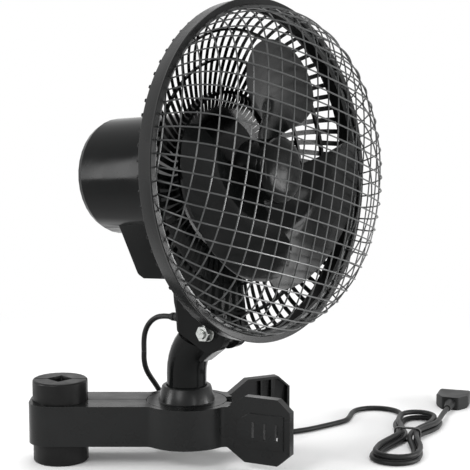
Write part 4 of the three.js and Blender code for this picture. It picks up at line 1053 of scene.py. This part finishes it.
def floor_white(name):
    """Matt white board, which fades into the background some way from the fan."""
    made = bpy.data.materials.new(name)
    tree = empty_tree(made)
    place = add(tree, "ShaderNodeTexCoord").outputs["Object"]
    shift = tuple(-c for c in FADE_CENTRE)
    centred = add(tree, "ShaderNodeMapping", inputs={"Vector": place, "Location": shift})
    away = add(tree, "ShaderNodeVectorMath", {"operation": "LENGTH"}, {0: centred.outputs[0]})
    fade = add(
        tree,
        "ShaderNodeMapRange",
        {"interpolation_type": "SMOOTHSTEP"},
        {"Value": away.outputs["Value"], "From Min": FADE_START, "From Max": FADE_END},
    )
    board = add(tree, "ShaderNodeBsdfDiffuse", inputs={"Color": (*linear("#fcfcfc"), 1)})
    white = add(tree, "ShaderNodeEmission", inputs={"Color": (1, 1, 1, 1), "Strength": 1})
    seen = seen_by(tree, "Is Camera Ray", "Is Glossy Ray")
    factors = {0: seen, 1: fade.outputs[0]}
    shown = add(tree, "ShaderNodeMath", {"operation": "MULTIPLY"}, factors)
    mixed = add(
        tree,
        "ShaderNodeMixShader",
        inputs={0: shown.outputs[0], 1: board.outputs[0], 2: white.outputs[0]},
    )
    add(tree, "ShaderNodeOutputMaterial", inputs={"Surface": mixed.outputs[0]})
    return made


class FAN_OT_stage(bpy.types.Operator):
    """Add the pale floor, the soft lights and the white background"""

    bl_idname = "fan.stage"
    bl_label = "Stage"

    def execute(self, context):
        form = bmesh.new()
        bmesh.ops.create_circle(form, cap_ends=True, segments=96, radius=FLOOR_RADIUS)
        bmesh.ops.translate(form, vec=(0, 0, -FLOOR_DROP), verts=form.verts)
        mesh = mesh_of(form, "floor")
        floor = bpy.data.objects.new("floor", mesh)
        context.scene.collection.objects.link(floor)
        mesh.materials.append(floor_white("floor_white"))
        for name, place, width, height, power in LAMPS:
            lamp = bpy.data.lights.new(name, "AREA")
            lamp.shape = "RECTANGLE"
            lamp.size = width
            lamp.size_y = height
            lamp.energy = power
            light = bpy.data.objects.new(name, lamp)
            light.location = place
            facing = (LAMP_AIM - light.location).to_track_quat("-Z", "Y")
            light.rotation_euler = facing.to_euler()
            context.scene.collection.objects.link(light)
        world = bpy.data.worlds.new("studio")
        context.scene.world = world
        tree = empty_tree(world)
        seen = seen_by(tree, "Is Camera Ray", "Is Glossy Ray", "Is Transmission Ray")
        soft, white = (
            add(
                tree,
                "ShaderNodeBackground",
                inputs={"Color": (1, 1, 1, 1), "Strength": strength},
            ).outputs[0]
            for strength in (SKY_LIGHT, 1)
        )
        sky = add(tree, "ShaderNodeMixShader", inputs={0: seen, 1: soft, 2: white})
        add(tree, "ShaderNodeOutputWorld", inputs={"Surface": sky.outputs[0]})
        return {"FINISHED"}


OPERATORS = (
    FAN_OT_camera,
    FAN_OT_cord,
    FAN_OT_clamp,
    FAN_OT_neck,
    FAN_OT_motor,
    FAN_OT_blades,
    FAN_OT_ring,
    FAN_OT_rear_grille,
    FAN_OT_front_grille,
    FAN_OT_stage,
)


class FAN_PT_panel(bpy.types.Panel):
    """The fan's steps, sizes and colours"""

    bl_idname = "FAN_PT_panel"
    bl_label = "Clip Fan"
    bl_space_type = "VIEW_3D"
    bl_region_type = "UI"
    bl_category = "Clip Fan"

    def draw(self, context):
        column = self.layout.column()
        for made in OPERATORS:
            column.operator(made.bl_idname)
        for group in (context.scene.fan_sizes, context.scene.fan_colours):
            for key in type(group).__annotations__:
                column.prop(group, key)


CLASSES = (FanSizes, FanColours, *OPERATORS, FAN_PT_panel)


def register():
    """Adds the classes and the groups of sizes and colours."""
    for made in CLASSES:
        bpy.utils.register_class(made)
    bpy.types.Scene.fan_sizes = bpy.props.PointerProperty(type=FanSizes)
    bpy.types.Scene.fan_colours = bpy.props.PointerProperty(type=FanColours)


def unregister():
    """Takes them out again."""
    del bpy.types.Scene.fan_colours
    del bpy.types.Scene.fan_sizes
    for made in reversed(CLASSES):
        bpy.utils.unregister_class(made)


def main():
    """Makes every piece in order."""
    register()
    for made in OPERATORS:
        group, name = made.bl_idname.split(".")
        getattr(getattr(bpy.ops, group), name)()
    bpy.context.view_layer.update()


if __name__ == "__main__":
    main()
